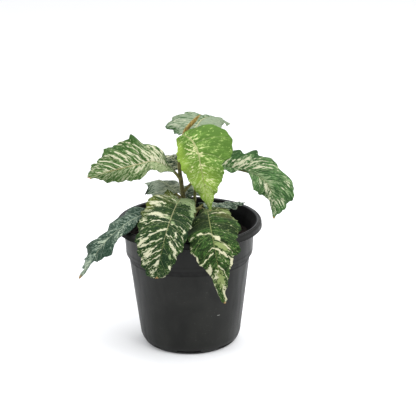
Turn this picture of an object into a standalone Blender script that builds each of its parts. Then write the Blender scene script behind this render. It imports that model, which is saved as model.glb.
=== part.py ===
"""A potted clown fig: a young fig with broad marbled leaves in a plain nursery pot.

Metres, +Z up. The origin is the middle of the pot's flat bottom, and the front is towards -Y.
"""

import math

import bmesh
import bpy
from mathutils import Matrix, Vector

# Pot
RIM_RADIUS = 0.0750
POT_HEIGHT = 0.1310
RIM_SKIRT = 0.0068
BAND_RADIUS = 0.0668
BAND_FOOT_RADIUS = 0.0657
BAND_FOOT_HEIGHT = 0.0972
SHOULDER_RADIUS = 0.0624
SHOULDER_HEIGHT = 0.0920
BASE_RADIUS = 0.0460
BASE_CORNER_HEIGHT = 0.0098
BASE_CORNER_RADIUS = 0.0522
WALL = 0.0018
FLOOR = 0.0022
POT_STEPS = 42

# The rim's section, as offsets from the rim's outer radius and the pot's top: over the top from the inside,
# down the skirt and back up under it
RIM_SECTION = [
    (-0.0056, -0.0012),
    (-0.0044, 0.0000),
    (-0.0022, 0.0000),
    (-0.0006, -0.0008),
    (0.0000, -0.0024),
    (0.0000, -RIM_SKIRT),
    (-WALL, -RIM_SKIRT),
    (-WALL, -0.0034),
    (-0.0058, -0.0044),
]
RIM_JOIN_DEPTH = 0.0110
RIM_JOIN_STEP = 0.0002
RIM_INSIDE_DEPTH = 0.0100

# The rounded corner of the foot, as offsets from the base radius and heights
FOOT_SECTION = [
    (0.0050, 0.0064),
    (0.0032, 0.0030),
    (0.0015, 0.0009),
    (0.0000, 0.0000),
]

# Drainage slots through the wall just above the pot's floor
SLOT_COUNT = 7
SLOT_ANGLE = math.radians(29)
SLOT_TURN = math.radians(-2.3)
SLOT_BOTTOM = 0.0025
SLOT_TOP = 0.0048
SLOT_DEPTH = 0.0120
SLOT_INSET = 0.0030

# Potting mix
SOIL_HEIGHT = 0.1120
SOIL_MOUND = 0.0030
SOIL_RINGS = (0, 0.3, 0.55, 0.78, 0.93)
SOIL_BUMP_HEIGHT = 0.0011
SOIL_BUMP_TURNS = (310, 270, 190)
SOIL_BUMP_EDGE = 4
HOLE_DEPTH = 0.0300
HOLE_LENGTH = 0.0500
HOLE_SIDES = 12
GAP = 0.0003

# Leaf blades
BLADE = 0.0008
BLADE_STATIONS = 24
BLADE_STRIPS = 6
WAVE = 0.0020
CURL = math.radians(-20)
VEIN_ANGLE_TIP = math.radians(40)
VEIN_ANGLE_GAIN = math.radians(75)
VEIN_ANGLE_POWER = 1.8
FULL_WAVE_WIDTH = 0.0120
PETIOLE_RADIUS = 0.0012
PETIOLE_ARCH = 0.0008
MIDRIB_END_RADIUS = 0.0005
MIDRIB_REACH = 0.72
MIDRIB_STEPS = 6
STEM_STEPS = 16

# Stems: points on the axis from the foot up, and the radius at the foot and the top
STEMS = {
    "stem_main": {
        "axis": [
            (-0.0020, 0.0000, SOIL_HEIGHT - HOLE_DEPTH + GAP),
            (-0.0022, 0.0000, 0.1120),
            (-0.0035, 0.0000, 0.1350),
            (-0.0055, 0.0000, 0.1570),
            (-0.0085, 0.0000, 0.1830),
            (-0.0080, 0.0005, 0.2030),
            (-0.0040, 0.0010, 0.2210),
        ],
        "radii": (0.0028, 0.0017),
        "colour": (0.19, 0.16, 0.06),
    },
    "stem_side": {
        "axis": [
            (0.0060, 0.0060, SOIL_HEIGHT - HOLE_DEPTH + GAP),
            (0.0058, 0.0060, 0.1120),
            (0.0052, 0.0055, 0.1350),
            (0.0062, 0.0055, 0.1520),
            (0.0072, 0.0060, 0.1660),
        ],
        "radii": (0.0019, 0.0014),
        "colour": (0.27, 0.26, 0.07),
    },
}

# Leaves: the height where each leaf stalk leaves its stem, points along the midrib from the blade's foot
# to its tip, the way the blade's upper side faces at equal steps along it, half widths left and right of
# the midrib at equal steps, the lift and curl of each half in degrees, lobes or notches of the margin as
# (half, share of the length, height, reach), and the waves of the margin.
LEAVES = {
    "leaf_upper_left": {
        "stem": "stem_main",
        "node": 0.1750,
        "rib": [
            (-0.0173, -0.0020, 0.1868),
            (-0.0344, -0.0040, 0.1945),
            (-0.0506, -0.0060, 0.1922),
            (-0.0688, -0.0090, 0.1891),
            (-0.0839, -0.0130, 0.1863),
            (-0.0989, -0.0170, 0.1820),
        ],
        "facing": [(0, -0.45, 0.9), (0, -0.55, 0.8), (0, -0.5, 0.8), (-0.3, -0.5, 0.7)],
        "left": [0.0090, 0.0100, 0.0125, 0.0100, 0.0180, 0.0145, 0.0175, 0.0150, 0.0110, 0.0035, 0.0020],
        "right": [0.0070, 0.0125, 0.0200, 0.0320, 0.0330, 0.0330, 0.0280, 0.0230, 0.0190, 0.0110, 0.0030],
        "lift_left": [36, 14, -28, -58, -36],
        "lift_right": [-8, 24, 22, 12, 10],
        "lobes": [
            ("right", 0.265, -0.0030, 0.02),
            ("right", 0.315, 0.0035, 0.03),
            ("right", 0.45, 0.0020, 0.03),
        ],
        "waves": 5.2,
        "phases": (0.10, 0.45),
        "colour": (0.2, 0.34, 0.15),
    },
    "leaf_top_back": {
        "stem": "stem_main",
        "node": 0.2180,
        "rib": [
            (0.0005, 0.0060, 0.2208),
            (0.0086, 0.0180, 0.2241),
            (0.0158, 0.0400, 0.2262),
            (0.0273, 0.0620, 0.2226),
            (0.0443, 0.0800, 0.2099),
        ],
        "facing": [(0, -0.2, 1), (0, -0.1, 1), (0.2, 0.1, 1), (0.5, 0.2, 0.8)],
        "left": [0.0100, 0.0230, 0.0330, 0.0410, 0.0330, 0.0190, 0.0110, 0.0080, 0.0090, 0.0090, 0.0010],
        "right": [0.0140, 0.0180, 0.0200, 0.0200, 0.0170, 0.0120, 0.0080, 0.0010],
        "lift_left": [0, 8, 8, 10, 16, 22, 10, 10, 20, 20, 0],
        "lift_right": [0, 0, 0],
        "curl": -24,
        "lobes": [
            ("left", 0.37, 0.0055, 0.018),
            ("left", 0.41, -0.0050, 0.016),
            ("left", 0.455, 0.0065, 0.02),
        ],
        "waves": 5,
        "phases": (0.20, 0.50),
        "colour": (0.27, 0.38, 0.27),
    },
    "leaf_new": {
        "stem": "stem_main",
        "node": 0.2195,
        "rib": [
            (-0.0040, -0.0062, 0.2235),
            (0.0046, -0.0140, 0.2186),
            (0.0106, -0.0220, 0.2074),
            (0.0133, -0.0270, 0.1942),
            (0.0170, -0.0290, 0.1737),
            (0.0223, -0.0270, 0.1491),
        ],
        "facing": [(-0.1, -0.8, 0.6), (0, -1, 0.25), (0.05, -1, 0.1), (0.1, -1, 0)],
        "left": [0.0020, 0.0220, 0.0355, 0.0340, 0.0245, 0.0250, 0.0190, 0.0145, 0.0090, 0.0045, 0.0010],
        "right": [0.0080, 0.0170, 0.0215, 0.0215, 0.0200, 0.0170, 0.0140, 0.0105, 0.0070, 0.0035, 0.0010],
        "lift_left": [-8, 0, 0],
        "lift_right": [8, 2, 0],
        "curl": -15,
        "lobes": [
            ("left", 0.25, 0.0040, 0.035),
        ],
        "waves": 4.5,
        "phases": (0.30, 0.60),
        "colour": (0.28, 0.52, 0.06),
    },
    "leaf_upper_right": {
        "stem": "stem_main",
        "node": 0.1600,
        "rib": [
            (0.0162, 0.0080, 0.1800),
            (0.0347, 0.0090, 0.1827),
            (0.0510, 0.0060, 0.1823),
            (0.0692, 0.0000, 0.1775),
            (0.0812, -0.0060, 0.1686),
            (0.0862, -0.0100, 0.1559),
            (0.0866, -0.0120, 0.1350),
        ],
        "facing": [(0, -0.3, 1), (0, -0.35, 0.95), (0.2, -0.75, 0.7), (0.35, -0.95, 0.2), (0.3, -1, 0)],
        "left": [0.0080, 0.0120, 0.0180, 0.0250, 0.0250, 0.0270, 0.0315, 0.0255, 0.0185, 0.0095, 0.0015],
        "right": [0.0120, 0.0150, 0.0150, 0.0130, 0.0090, 0.0180, 0.0165, 0.0110, 0.0060, 0.0030, 0.0010],
        "lift_left": [14, 32, 14, 14, -10],
        "lift_right": [30, 40, 48, 50, 76, 40, 6, -10, -12, -6, 0],
        "lobes": [
            ("left", 0.305, -0.0040, 0.02),
            ("left", 0.345, 0.0030, 0.025),
            ("left", 0.525, -0.0020, 0.02),
        ],
        "waves": 5,
        "phases": (0.00, 0.40),
        "colour": (0.13, 0.28, 0.11),
    },
    "leaf_mid_left": {
        "stem": "stem_main",
        "node": 0.1480,
        "rib": [
            (-0.0130, 0.0090, 0.1565),
            (-0.0215, 0.0240, 0.1600),
            (-0.0325, 0.0400, 0.1600),
            (-0.0465, 0.0490, 0.1540),
        ],
        "facing": [(0, -0.15, 1), (0, -0.1, 1), (-0.2, 0, 1)],
        "left": [0.0080, 0.0170, 0.0230, 0.0220, 0.0200, 0.0120, 0.0040, 0.0010],
        "right": [0.0080, 0.0170, 0.0210, 0.0210, 0.0140, 0.0040, 0.0070, 0.0010],
        "lobes": [
            ("left", 0.48, -0.0040, 0.03),
            ("left", 0.61, 0.0050, 0.025),
            ("right", 0.86, 0.0040, 0.025),
        ],
        "waves": 4,
        "phases": (0.10, 0.50),
        "colour": (0.24, 0.34, 0.26),
    },
    "leaf_low_left": {
        "stem": "stem_main",
        "node": 0.1330,
        "rib": [
            (-0.0294, -0.0080, 0.1425),
            (-0.0423, -0.0180, 0.1435),
            (-0.0553, -0.0260, 0.1405),
            (-0.0675, -0.0330, 0.1345),
            (-0.0825, -0.0400, 0.1230),
            (-0.0956, -0.0460, 0.1082),
            (-0.1108, -0.0500, 0.0868),
        ],
        "facing": [(0, 0, 1), (-0.1, 0.05, 1), (-0.3, -0.1, 1), (-0.6, -0.2, 0.6)],
        "left": [0.0100, 0.0110, 0.0120, 0.0135, 0.0175, 0.0200, 0.0215, 0.0135, 0.0045, 0.0040, 0.0010],
        "right": [0.0170, 0.0240, 0.0275, 0.0280, 0.0225, 0.0260, 0.0310, 0.0270, 0.0130, 0.0070, 0.0010],
        "lift_left": [18, 14, -12],
        "lift_right": [18, 18, 16],
        "lobes": [
            ("left", 0.76, -0.0020, 0.03),
            ("left", 0.85, 0.0025, 0.03),
            ("right", 0.53, -0.0080, 0.02),
            ("right", 0.59, 0.0030, 0.02),
            ("right", 0.76, -0.0030, 0.02),
            ("right", 0.83, 0.0045, 0.02),
        ],
        "waves": 5,
        "phases": (0.00, 0.40),
        "colour": (0.1, 0.19, 0.16),
    },
    "leaf_front_left": {
        "stem": "stem_main",
        "node": 0.1500,
        "rib": [
            (-0.0096, -0.0130, 0.1568),
            (-0.0152, -0.0450, 0.1531),
            (-0.0207, -0.0760, 0.1462),
            (-0.0255, -0.0920, 0.1313),
            (-0.0291, -0.0980, 0.1170),
            (-0.0309, -0.0990, 0.1050),
        ],
        "facing": [(0, -0.1, 1), (0, -0.3, 1), (-0.1, -0.75, 0.6), (-0.1, -1, 0.15)],
        "left": [0.0130, 0.0190, 0.0205, 0.0220, 0.0235, 0.0235, 0.0235, 0.0205, 0.0175, 0.0125, 0.0010],
        "right": [0.0150, 0.0225, 0.0270, 0.0295, 0.0310, 0.0315, 0.0320, 0.0270, 0.0210, 0.0150, 0.0010],
        "lift_left": [8, 6, 4],
        "lift_right": [40, 20, 6],
        "curl": -16,
        "waves": 5,
        "phases": (0.00, 0.40),
        "colour": (0.15, 0.27, 0.1),
    },
    "leaf_front_right": {
        "stem": "stem_side",
        "node": 0.1390,
        "rib": [
            (0.0188, -0.0140, 0.1463),
            (0.0211, -0.0480, 0.1442),
            (0.0239, -0.0780, 0.1390),
            (0.0266, -0.0920, 0.1285),
            (0.0297, -0.0980, 0.1099),
            (0.0353, -0.0980, 0.0772),
        ],
        "facing": [(0, -0.1, 1), (0.05, -0.3, 1), (0.1, -0.75, 0.6), (0.1, -1, 0.15)],
        "left": [0.0150, 0.0240, 0.0285, 0.0300, 0.0265, 0.0280, 0.0200, 0.0150, 0.0105, 0.0035, 0.0010],
        "right": [0.0060, 0.0130, 0.0195, 0.0245, 0.0260, 0.0255, 0.0210, 0.0130, 0.0100, 0.0070, 0.0010],
        "lift_left": [14, 14, 0],
        "lift_right": [6, 0, 0],
        "lobes": [
            ("left", 0.44, -0.0020, 0.025),
            ("left", 0.54, 0.0015, 0.03),
            ("left", 0.955, 0.0025, 0.022),
            ("right", 0.955, 0.0015, 0.022),
        ],
        "waves": 5,
        "phases": (0.00, 0.40),
        "colour": (0.09, 0.25, 0.07),
    },
    "leaf_low_right": {
        "stem": "stem_side",
        "node": 0.1350,
        "rib": [
            (0.0150, 0.0140, 0.1425),
            (0.0290, 0.0220, 0.1390),
            (0.0445, 0.0300, 0.1375),
            (0.0582, 0.0350, 0.1363),
        ],
        "facing": [(0, 0, 1), (0, -0.05, 1), (0.1, 0, 1)],
        "left": [0.0080, 0.0140, 0.0170, 0.0160, 0.0130, 0.0100, 0.0050, 0.0010],
        "right": [0.0060, 0.0110, 0.0130, 0.0130, 0.0110, 0.0090, 0.0050, 0.0010],
        "waves": 4,
        "phases": (0.00, 0.40),
        "colour": (0.22, 0.31, 0.25),
    },
    "leaf_mid_back": {
        "stem": "stem_main",
        "node": 0.1720,
        "rib": [
            (-0.0094, 0.0110, 0.1814),
            (-0.0128, 0.0280, 0.1839),
            (-0.0183, 0.0500, 0.1838),
            (-0.0210, 0.0720, 0.1771),
        ],
        "facing": [(0, -0.1, 1), (0, 0, 1), (0, 0.2, 1)],
        "left": [0.0070, 0.0130, 0.0160, 0.0150, 0.0130, 0.0090, 0.0050, 0.0010],
        "right": [0.0080, 0.0160, 0.0200, 0.0190, 0.0160, 0.0110, 0.0060, 0.0010],
        "lift_left": [10],
        "lift_right": [10],
        "waves": 4,
        "phases": (0.00, 0.40),
        "colour": (0.2, 0.32, 0.19),
    },
    "leaf_low_back": {
        "stem": "stem_side",
        "node": 0.1490,
        "rib": [
            (0.0065, 0.0170, 0.1510),
            (0.0050, 0.0360, 0.1510),
            (0.0035, 0.0600, 0.1480),
            (0.0020, 0.0850, 0.1400),
        ],
        "facing": [(0, -0.1, 1), (0, 0, 1), (0, 0.2, 1)],
        "left": [0.0080, 0.0140, 0.0160, 0.0160, 0.0140, 0.0100, 0.0060, 0.0010],
        "right": [0.0080, 0.0150, 0.0180, 0.0180, 0.0150, 0.0110, 0.0070, 0.0010],
        "waves": 4,
        "phases": (0.00, 0.40),
        "colour": (0.13, 0.24, 0.18),
    },
}

# The brown sheath that wraps the newest bud at the top of the main stem
BUD_POINTS = [
    (-0.0010, 0.0020, 0.2265),
    (0.0070, 0.0040, 0.2345),
    (0.0135, 0.0060, 0.2405),
]
BUD_RADII = (0.0016, 0.0018, 0.0019, 0.0014, 0.0004)
BUD_SEAT = 0.0020
BUD_AIM = 0.97

POT_COLOUR = (0.028, 0.030, 0.028)
SOIL_COLOUR = (0.020, 0.013, 0.009)
BUD_COLOUR = (0.33, 0.20, 0.06)


def smooth(values, t):
    """A Catmull-Rom curve through equally spaced numbers or points, at t from 0 to 1."""
    values = [v if isinstance(v, (int, float)) else Vector(v) for v in values]
    last = len(values) - 1
    if last == 0:
        return values[0]
    step = min(int(t * last), last - 1)
    f = t * last - step
    before = values[step - 1] if step else values[0] * 2 - values[1]
    after = values[step + 2] if step + 2 <= last else values[last] * 2 - values[last - 1]
    a, b = values[step], values[step + 1]
    return 0.5 * (
        a * 2
        + (b - before) * f
        + (before * 2 - a * 5 + b * 4 - after) * f**2
        + (a * 3 - before - b * 3 + after) * f**3
    )


class Rib:
    """The midrib of a leaf, measured along its length, with the blade's facing at each place."""

    samples = 200

    def __init__(self, points, facing):
        self.facing = facing
        self.places = [smooth(points, i / self.samples) for i in range(self.samples + 1)]
        self.along = [0.0]
        for a, b in zip(self.places, self.places[1:]):
            self.along.append(self.along[-1] + (b - a).length)
        self.length = self.along[-1]

    def place(self, distance):
        distance = min(max(distance, 0.0), self.length)
        i = next((k for k, d in enumerate(self.along) if d >= distance), self.samples)
        if i == 0:
            return self.places[0].copy()
        f = (distance - self.along[i - 1]) / (self.along[i] - self.along[i - 1])
        return self.places[i - 1].lerp(self.places[i], f)

    def frame(self, distance):
        """Place, tangent, upper normal and right-hand side at a distance from the blade's foot."""
        inside = min(max(distance, 0.0), self.length)
        reach = self.length / 60
        tangent = (self.place(inside + reach) - self.place(inside - reach)).normalized()
        normal = smooth(self.facing, inside / self.length)
        normal = (normal - tangent * normal.dot(tangent)).normalized()
        place = self.place(inside) + tangent * (distance - inside)
        return place, tangent, normal, tangent.cross(normal)


def blade_point(leaf, rib, s, u):
    """A point of the blade: s runs from foot to tip, u from -1 at the left edge to 1 at the right."""
    side = "right" if u > 0 else "left"
    width = smooth(leaf[side], s)
    for half, middle, height, spread in leaf.get("lobes", []):
        if half == side:
            width += height * math.exp(-(((s - middle) / spread) ** 2))
    reach = abs(u)
    vein = VEIN_ANGLE_TIP + VEIN_ANGLE_GAIN * (1 - s) ** VEIN_ANGLE_POWER
    lift = math.radians(smooth(leaf.get("lift_" + side, [0]), s))
    curl = math.radians(leaf["curl"]) if "curl" in leaf else CURL
    tilt = lift + curl * reach
    across = width * reach * math.sin(vein)
    turn = 2 * math.pi * (leaf["waves"] * s + leaf["phases"][u > 0])
    wave = WAVE * reach**1.5 * math.sin(turn) * min(width / FULL_WAVE_WIDTH, 1)
    place, _, normal, right = rib.frame(s * rib.length + width * reach * math.cos(vein))
    sign = 1 if u > 0 else -1
    return place + right * (sign * across * math.cos(tilt)) + normal * (across * math.sin(tilt) + wave)


def clear_scene():
    for thing in list(bpy.data.objects):
        bpy.data.objects.remove(thing)


def collection(name):
    made = bpy.data.collections.new(name)
    bpy.context.scene.collection.children.link(made)
    return made


def move_to(thing, target):
    for holder in list(thing.users_collection):
        holder.objects.unlink(thing)
    target.objects.link(thing)


def material(name, colour, roughness):
    made = bpy.data.materials.new(name)
    made.use_nodes = True
    shader = made.node_tree.nodes["Principled BSDF"]
    shader.inputs["Base Color"].default_value = (*colour, 1)
    shader.inputs["Roughness"].default_value = roughness
    shader.inputs["Metallic"].default_value = 0
    return made


def mesh_of(thing):
    """Replace an object by a plain mesh object with its modifiers or bevel applied."""
    graph = bpy.context.evaluated_depsgraph_get()
    mesh = bpy.data.meshes.new_from_object(thing.evaluated_get(graph))
    edit = bmesh.new()
    edit.from_mesh(mesh)
    bmesh.ops.remove_doubles(edit, verts=edit.verts, dist=0.00001)
    edit.to_mesh(mesh)
    edit.free()
    name = thing.name
    bpy.data.objects.remove(thing)
    made = bpy.data.objects.new(name, mesh)
    bpy.context.scene.collection.objects.link(made)
    bpy.context.view_layer.update()
    return made


def turned(name, profile, steps):
    """A solid of revolution about Z from (radius, height) points, outer side top to bottom."""
    mesh = bpy.data.meshes.new(name)
    edges = [(i, i + 1) for i in range(len(profile) - 1)]
    mesh.from_pydata([(r, 0, z) for r, z in profile], edges, [])
    made = bpy.data.objects.new(name, mesh)
    bpy.context.scene.collection.objects.link(made)
    screw = made.modifiers.new("turn", "SCREW")
    screw.steps = steps
    screw.render_steps = steps
    screw.use_merge_vertices = True
    screw.merge_threshold = 0.00001
    screw.use_normal_calculate = True
    return made


def tube(name, points, radii, sides_level):
    """A round tube along points, with a radius for each point and filled ends."""
    curve = bpy.data.curves.new(name, "CURVE")
    curve.dimensions = "3D"
    curve.bevel_depth = 1.0
    curve.bevel_resolution = sides_level
    curve.use_fill_caps = True
    line = curve.splines.new("POLY")
    line.points.add(len(points) - 1)
    for point, place, radius in zip(line.points, points, radii):
        point.co = (*place, 1)
        point.radius = radius
    made = bpy.data.objects.new(name, curve)
    bpy.context.scene.collection.objects.link(made)
    return made


def as_cutter(thing, target):
    thing.hide_render = True
    thing.display_type = "WIRE"
    move_to(thing, target)


def boolean(thing, operation, operand):
    made = thing.modifiers.new(operation.lower(), "BOOLEAN")
    made.operation = operation
    made.solver = "EXACT"
    if isinstance(operand, bpy.types.Collection):
        made.operand_type = "COLLECTION"
        made.collection = operand
    else:
        made.object = operand
    return made


def inner_wall():
    """The pot's inside from the floor's edge up to the rim, as (radius, height)."""
    return [
        (BASE_RADIUS - WALL, FLOOR),
        (BASE_CORNER_RADIUS - WALL, BASE_CORNER_HEIGHT),
        (SHOULDER_RADIUS - WALL, SHOULDER_HEIGHT),
        (BAND_FOOT_RADIUS - WALL, BAND_FOOT_HEIGHT),
        (BAND_RADIUS - WALL, POT_HEIGHT - RIM_INSIDE_DEPTH),
    ]


def inner_radius(height):
    wall = inner_wall()
    for (r0, z0), (r1, z1) in zip(wall, wall[1:]):
        if z0 <= height <= z1:
            return r0 + (r1 - r0) * (height - z0) / (z1 - z0)
    return wall[-1][0]


def make_pot(parts):
    rim = [(RIM_RADIUS + r, POT_HEIGHT + z) for r, z in RIM_SECTION]
    rim.append((BAND_RADIUS + RIM_JOIN_STEP, POT_HEIGHT - RIM_JOIN_DEPTH))
    outer = [
        (BAND_FOOT_RADIUS, BAND_FOOT_HEIGHT),
        (SHOULDER_RADIUS, SHOULDER_HEIGHT),
        (BASE_CORNER_RADIUS, BASE_CORNER_HEIGHT),
    ]
    foot = [(BASE_RADIUS + r, z) for r, z in FOOT_SECTION]
    pot = turned("pot", [(0, FLOOR)] + inner_wall() + rim + outer + foot + [(0, 0)], POT_STEPS)
    slots = collection("drainage slots")
    width = 2 * BASE_RADIUS * math.tan(SLOT_ANGLE / 2)
    middle = BASE_RADIUS + SLOT_DEPTH / 2 - SLOT_INSET
    for i in range(SLOT_COUNT):
        angle = SLOT_TURN - math.pi / 2 + i * math.tau / SLOT_COUNT
        bpy.ops.mesh.primitive_cube_add(size=1)
        slot = bpy.context.object
        slot.name = f"slot_{i + 1}"
        slot.data.transform(Matrix.Diagonal((SLOT_DEPTH, width, SLOT_TOP - SLOT_BOTTOM, 1)))
        slot.location = (
            middle * math.cos(angle),
            middle * math.sin(angle),
            (SLOT_TOP + SLOT_BOTTOM) / 2,
        )
        slot.rotation_euler.z = angle
        as_cutter(slot, slots)
    boolean(pot, "DIFFERENCE", slots)
    pot.data.materials.append(material("black_plastic", POT_COLOUR, 0.45))
    move_to(pot, parts)


def make_soil(parts, cutters):
    top_radius = inner_radius(SOIL_HEIGHT) - GAP
    surface = [
        (top_radius * k, SOIL_HEIGHT + SOIL_MOUND * math.cos(k * math.pi / 2)) for k in SOIL_RINGS
    ]
    wall = [(r - GAP, z) for r, z in inner_wall()[1:4]]
    floor = [(BASE_RADIUS - WALL - GAP, FLOOR + GAP), (0, FLOOR + GAP)]
    profile = surface + [(top_radius, SOIL_HEIGHT)] + list(reversed(wall)) + floor
    soil = mesh_of(turned("soil", profile, POT_STEPS))
    along_x, along_y, across = SOIL_BUMP_TURNS
    for vertex in soil.data.vertices:
        x, y, z = vertex.co
        reach = math.hypot(x, y) / top_radius
        if z > SOIL_HEIGHT + GAP and reach > 0:
            bumps = math.sin(along_x * x + 1) * math.cos(along_y * y) + math.sin(across * (x + y))
            vertex.co.z += SOIL_BUMP_HEIGHT * bumps * min(SOIL_BUMP_EDGE * (1 - reach), 1)
    for name, stem in STEMS.items():
        foot = Vector(stem["axis"][0])
        bottom = foot.z - GAP
        bpy.ops.mesh.primitive_cylinder_add(
            vertices=HOLE_SIDES,
            radius=stem["radii"][0] + 2 * GAP,
            depth=HOLE_LENGTH,
            location=(foot.x, foot.y, bottom + HOLE_LENGTH / 2),
        )
        hole = bpy.context.object
        hole.name = "hole_" + name
        as_cutter(hole, cutters)
        boolean(soil, "DIFFERENCE", hole)
    soil.data.materials.append(material("potting_mix", SOIL_COLOUR, 0.95))
    move_to(soil, parts)


def stem_axis(stem, height):
    """The place on a stem's axis at a height, and the stem's radius there."""
    samples = 120
    foot, top = stem["radii"]
    places = [smooth(stem["axis"], i / samples) for i in range(samples + 1)]
    i = next((k for k, p in enumerate(places) if p.z >= height), samples)
    return places[i], foot + (top - foot) * i / samples


def make_stem(name, stem, parts):
    foot, top = stem["radii"]
    shares = [i / STEM_STEPS for i in range(STEM_STEPS + 1)]
    points = [smooth(stem["axis"], share) for share in shares]
    radii = [foot + (top - foot) * share for share in shares]
    made = tube(name, points, radii, 2)
    made.data.materials.append(material(name + "_bark", stem["colour"], 0.7))
    move_to(made, parts)


def make_bud(parts):
    axis = STEMS["stem_main"]["axis"]
    top = smooth(axis, 1)
    rise = (top - smooth(axis, BUD_AIM)).normalized()
    points = [top + rise * GAP, top + rise * BUD_SEAT] + [Vector(p) for p in BUD_POINTS]
    bud = tube("bud_sheath", points, BUD_RADII, 2)
    bud.data.materials.append(material("bud_brown", BUD_COLOUR, 0.6))
    move_to(bud, parts)


def stalk_points(leaf, rib):
    """The leaf stalk from just off its stem to the blade, then on along the midrib."""
    axis, radius = stem_axis(STEMS[leaf["stem"]], leaf["node"])
    foot = rib.place(0)
    away = foot - axis
    slope = away.normalized().z
    away.z = 0
    start = axis + away.normalized() * (radius + GAP + PETIOLE_RADIUS * abs(slope))
    points = [start, start.lerp(foot, 0.5) + Vector((0, 0, PETIOLE_ARCH)), foot]
    radii = [PETIOLE_RADIUS] * 3
    for i in range(1, MIDRIB_STEPS + 1):
        share = i / MIDRIB_STEPS
        points.append(rib.place(rib.length * MIDRIB_REACH * share))
        radii.append(PETIOLE_RADIUS + (MIDRIB_END_RADIUS - PETIOLE_RADIUS) * share)
    return points, radii


def make_leaf(name, leaf, parts, cutters):
    rib = Rib(leaf["rib"], leaf["facing"])
    bpy.ops.mesh.primitive_grid_add(
        x_subdivisions=BLADE_STATIONS, y_subdivisions=BLADE_STRIPS, size=2
    )
    blade = bpy.context.object
    blade.name = name
    for vertex in blade.data.vertices:
        vertex.co = blade_point(leaf, rib, (vertex.co.x + 1) / 2, -vertex.co.y)
    edit = bmesh.new()
    edit.from_mesh(blade.data)
    bmesh.ops.triangulate(edit, faces=edit.faces, quad_method="SHORT_EDGE")
    edit.to_mesh(blade.data)
    edit.free()
    sheet = blade.modifiers.new("thickness", "SOLIDIFY")
    sheet.thickness = BLADE
    sheet.offset = 0
    stalk = mesh_of(tube("stalk_" + name, *stalk_points(leaf, rib), 1))
    as_cutter(stalk, cutters)
    boolean(blade, "UNION", stalk)
    blade.data.materials.append(material(name + "_green", leaf["colour"], 0.5))
    move_to(blade, parts)


def main():
    clear_scene()
    parts = collection("potted clown fig")
    cutters = collection("cutters")
    make_pot(parts)
    make_soil(parts, cutters)
    for name, stem in STEMS.items():
        make_stem(name, stem, parts)
    make_bud(parts)
    for name, leaf in LEAVES.items():
        make_leaf(name, leaf, parts, cutters)
    bpy.context.view_layer.update()


main()
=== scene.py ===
import math
from functools import partial

import bpy
import numpy as np
from mathutils import Matrix, Vector, noise


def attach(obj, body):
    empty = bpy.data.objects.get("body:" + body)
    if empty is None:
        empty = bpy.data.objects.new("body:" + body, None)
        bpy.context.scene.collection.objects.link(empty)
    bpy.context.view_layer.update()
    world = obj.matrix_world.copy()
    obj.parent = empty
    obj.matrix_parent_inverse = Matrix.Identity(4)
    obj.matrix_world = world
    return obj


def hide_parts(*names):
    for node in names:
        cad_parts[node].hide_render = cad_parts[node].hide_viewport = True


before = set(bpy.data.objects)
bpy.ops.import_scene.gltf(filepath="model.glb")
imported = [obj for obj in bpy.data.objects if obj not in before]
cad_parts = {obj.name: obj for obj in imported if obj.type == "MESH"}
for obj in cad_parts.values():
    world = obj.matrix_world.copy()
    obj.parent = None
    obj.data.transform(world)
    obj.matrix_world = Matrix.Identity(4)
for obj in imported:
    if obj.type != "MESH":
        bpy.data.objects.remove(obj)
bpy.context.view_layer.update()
mm = 0.001
print("frame loaded:", len(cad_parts), "CAD nodes")


# Small helpers

def colour(red, green, blue):
    # a screen colour, 0 to 255, as the linear colour that shaders take
    parts = [v / 255 for v in (red, green, blue)]
    return [v / 12.92 if v <= 0.04045 else ((v + 0.055) / 1.055) ** 2.4 for v in parts] + [1]


def deselectAll():
    bpy.ops.object.select_all(action="DESELECT")


def applyModifiers(piece):
    deselectAll()
    piece.select_set(True)
    bpy.context.view_layer.objects.active = piece
    for modifier in list(piece.modifiers):
        bpy.ops.object.modifier_apply(modifier=modifier.name)


def joinInto(piece, others):
    deselectAll()
    for other in others:
        other.select_set(True)
    piece.select_set(True)
    bpy.context.view_layer.objects.active = piece
    bpy.ops.object.join()


def settle(piece, name, slotName, *nodes):
    piece.name = name
    piece.data.name = name
    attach(piece, "root")
    if nodes:
        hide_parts(*nodes)
    print("made", name, len(piece.data.polygons), "faces")


def smoothCurve(values, places):
    # a curve through equally spaced numbers or points, read at places from 0 to 1
    values = np.array(values, float)
    if values.ndim == 1:
        values = values[:, None]
    last = len(values) - 1
    if last == 0:
        return np.repeat(values, len(places), 0)
    padded = np.vstack([2 * values[:1] - values[1:2], values, 2 * values[-1:] - values[-2:-1]])
    step = np.minimum((places * last).astype(int), last - 1)
    f = (places * last - step)[:, None]
    before, a, b, after = (padded[step + k] for k in range(4))
    return 0.5 * (
        2 * a
        + (b - before) * f
        + (2 * before - 5 * a + 4 * b - after) * f**2
        + (3 * a - before - 3 * b + after) * f**3
    )


def unit(vectors):
    return vectors / np.linalg.norm(vectors, axis=1, keepdims=True)


def placesOf(mesh):
    flat = np.empty(len(mesh.vertices) * 3)
    mesh.vertices.foreach_get("co", flat)
    return flat.reshape(-1, 3)


def setPlaces(mesh, places):
    mesh.vertices.foreach_set("co", np.asarray(places, float).ravel())
    mesh.update()


def lumpAt(place, octaves=3):
    # fractal noise, about -1 to 1
    return noise.fractal(place, 1.0, 2.0, octaves)


def lumpsAt(places, scale):
    return np.array([lumpAt(Vector(p) * scale) for p in places])


def dress(piece, *materials):
    piece.data.materials.clear()
    for material in materials:
        piece.data.materials.append(material)


def added(operator, **settings):
    # what the operator adds, with nothing else selected
    deselectAll()
    operator(**settings)
    return bpy.context.object


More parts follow.
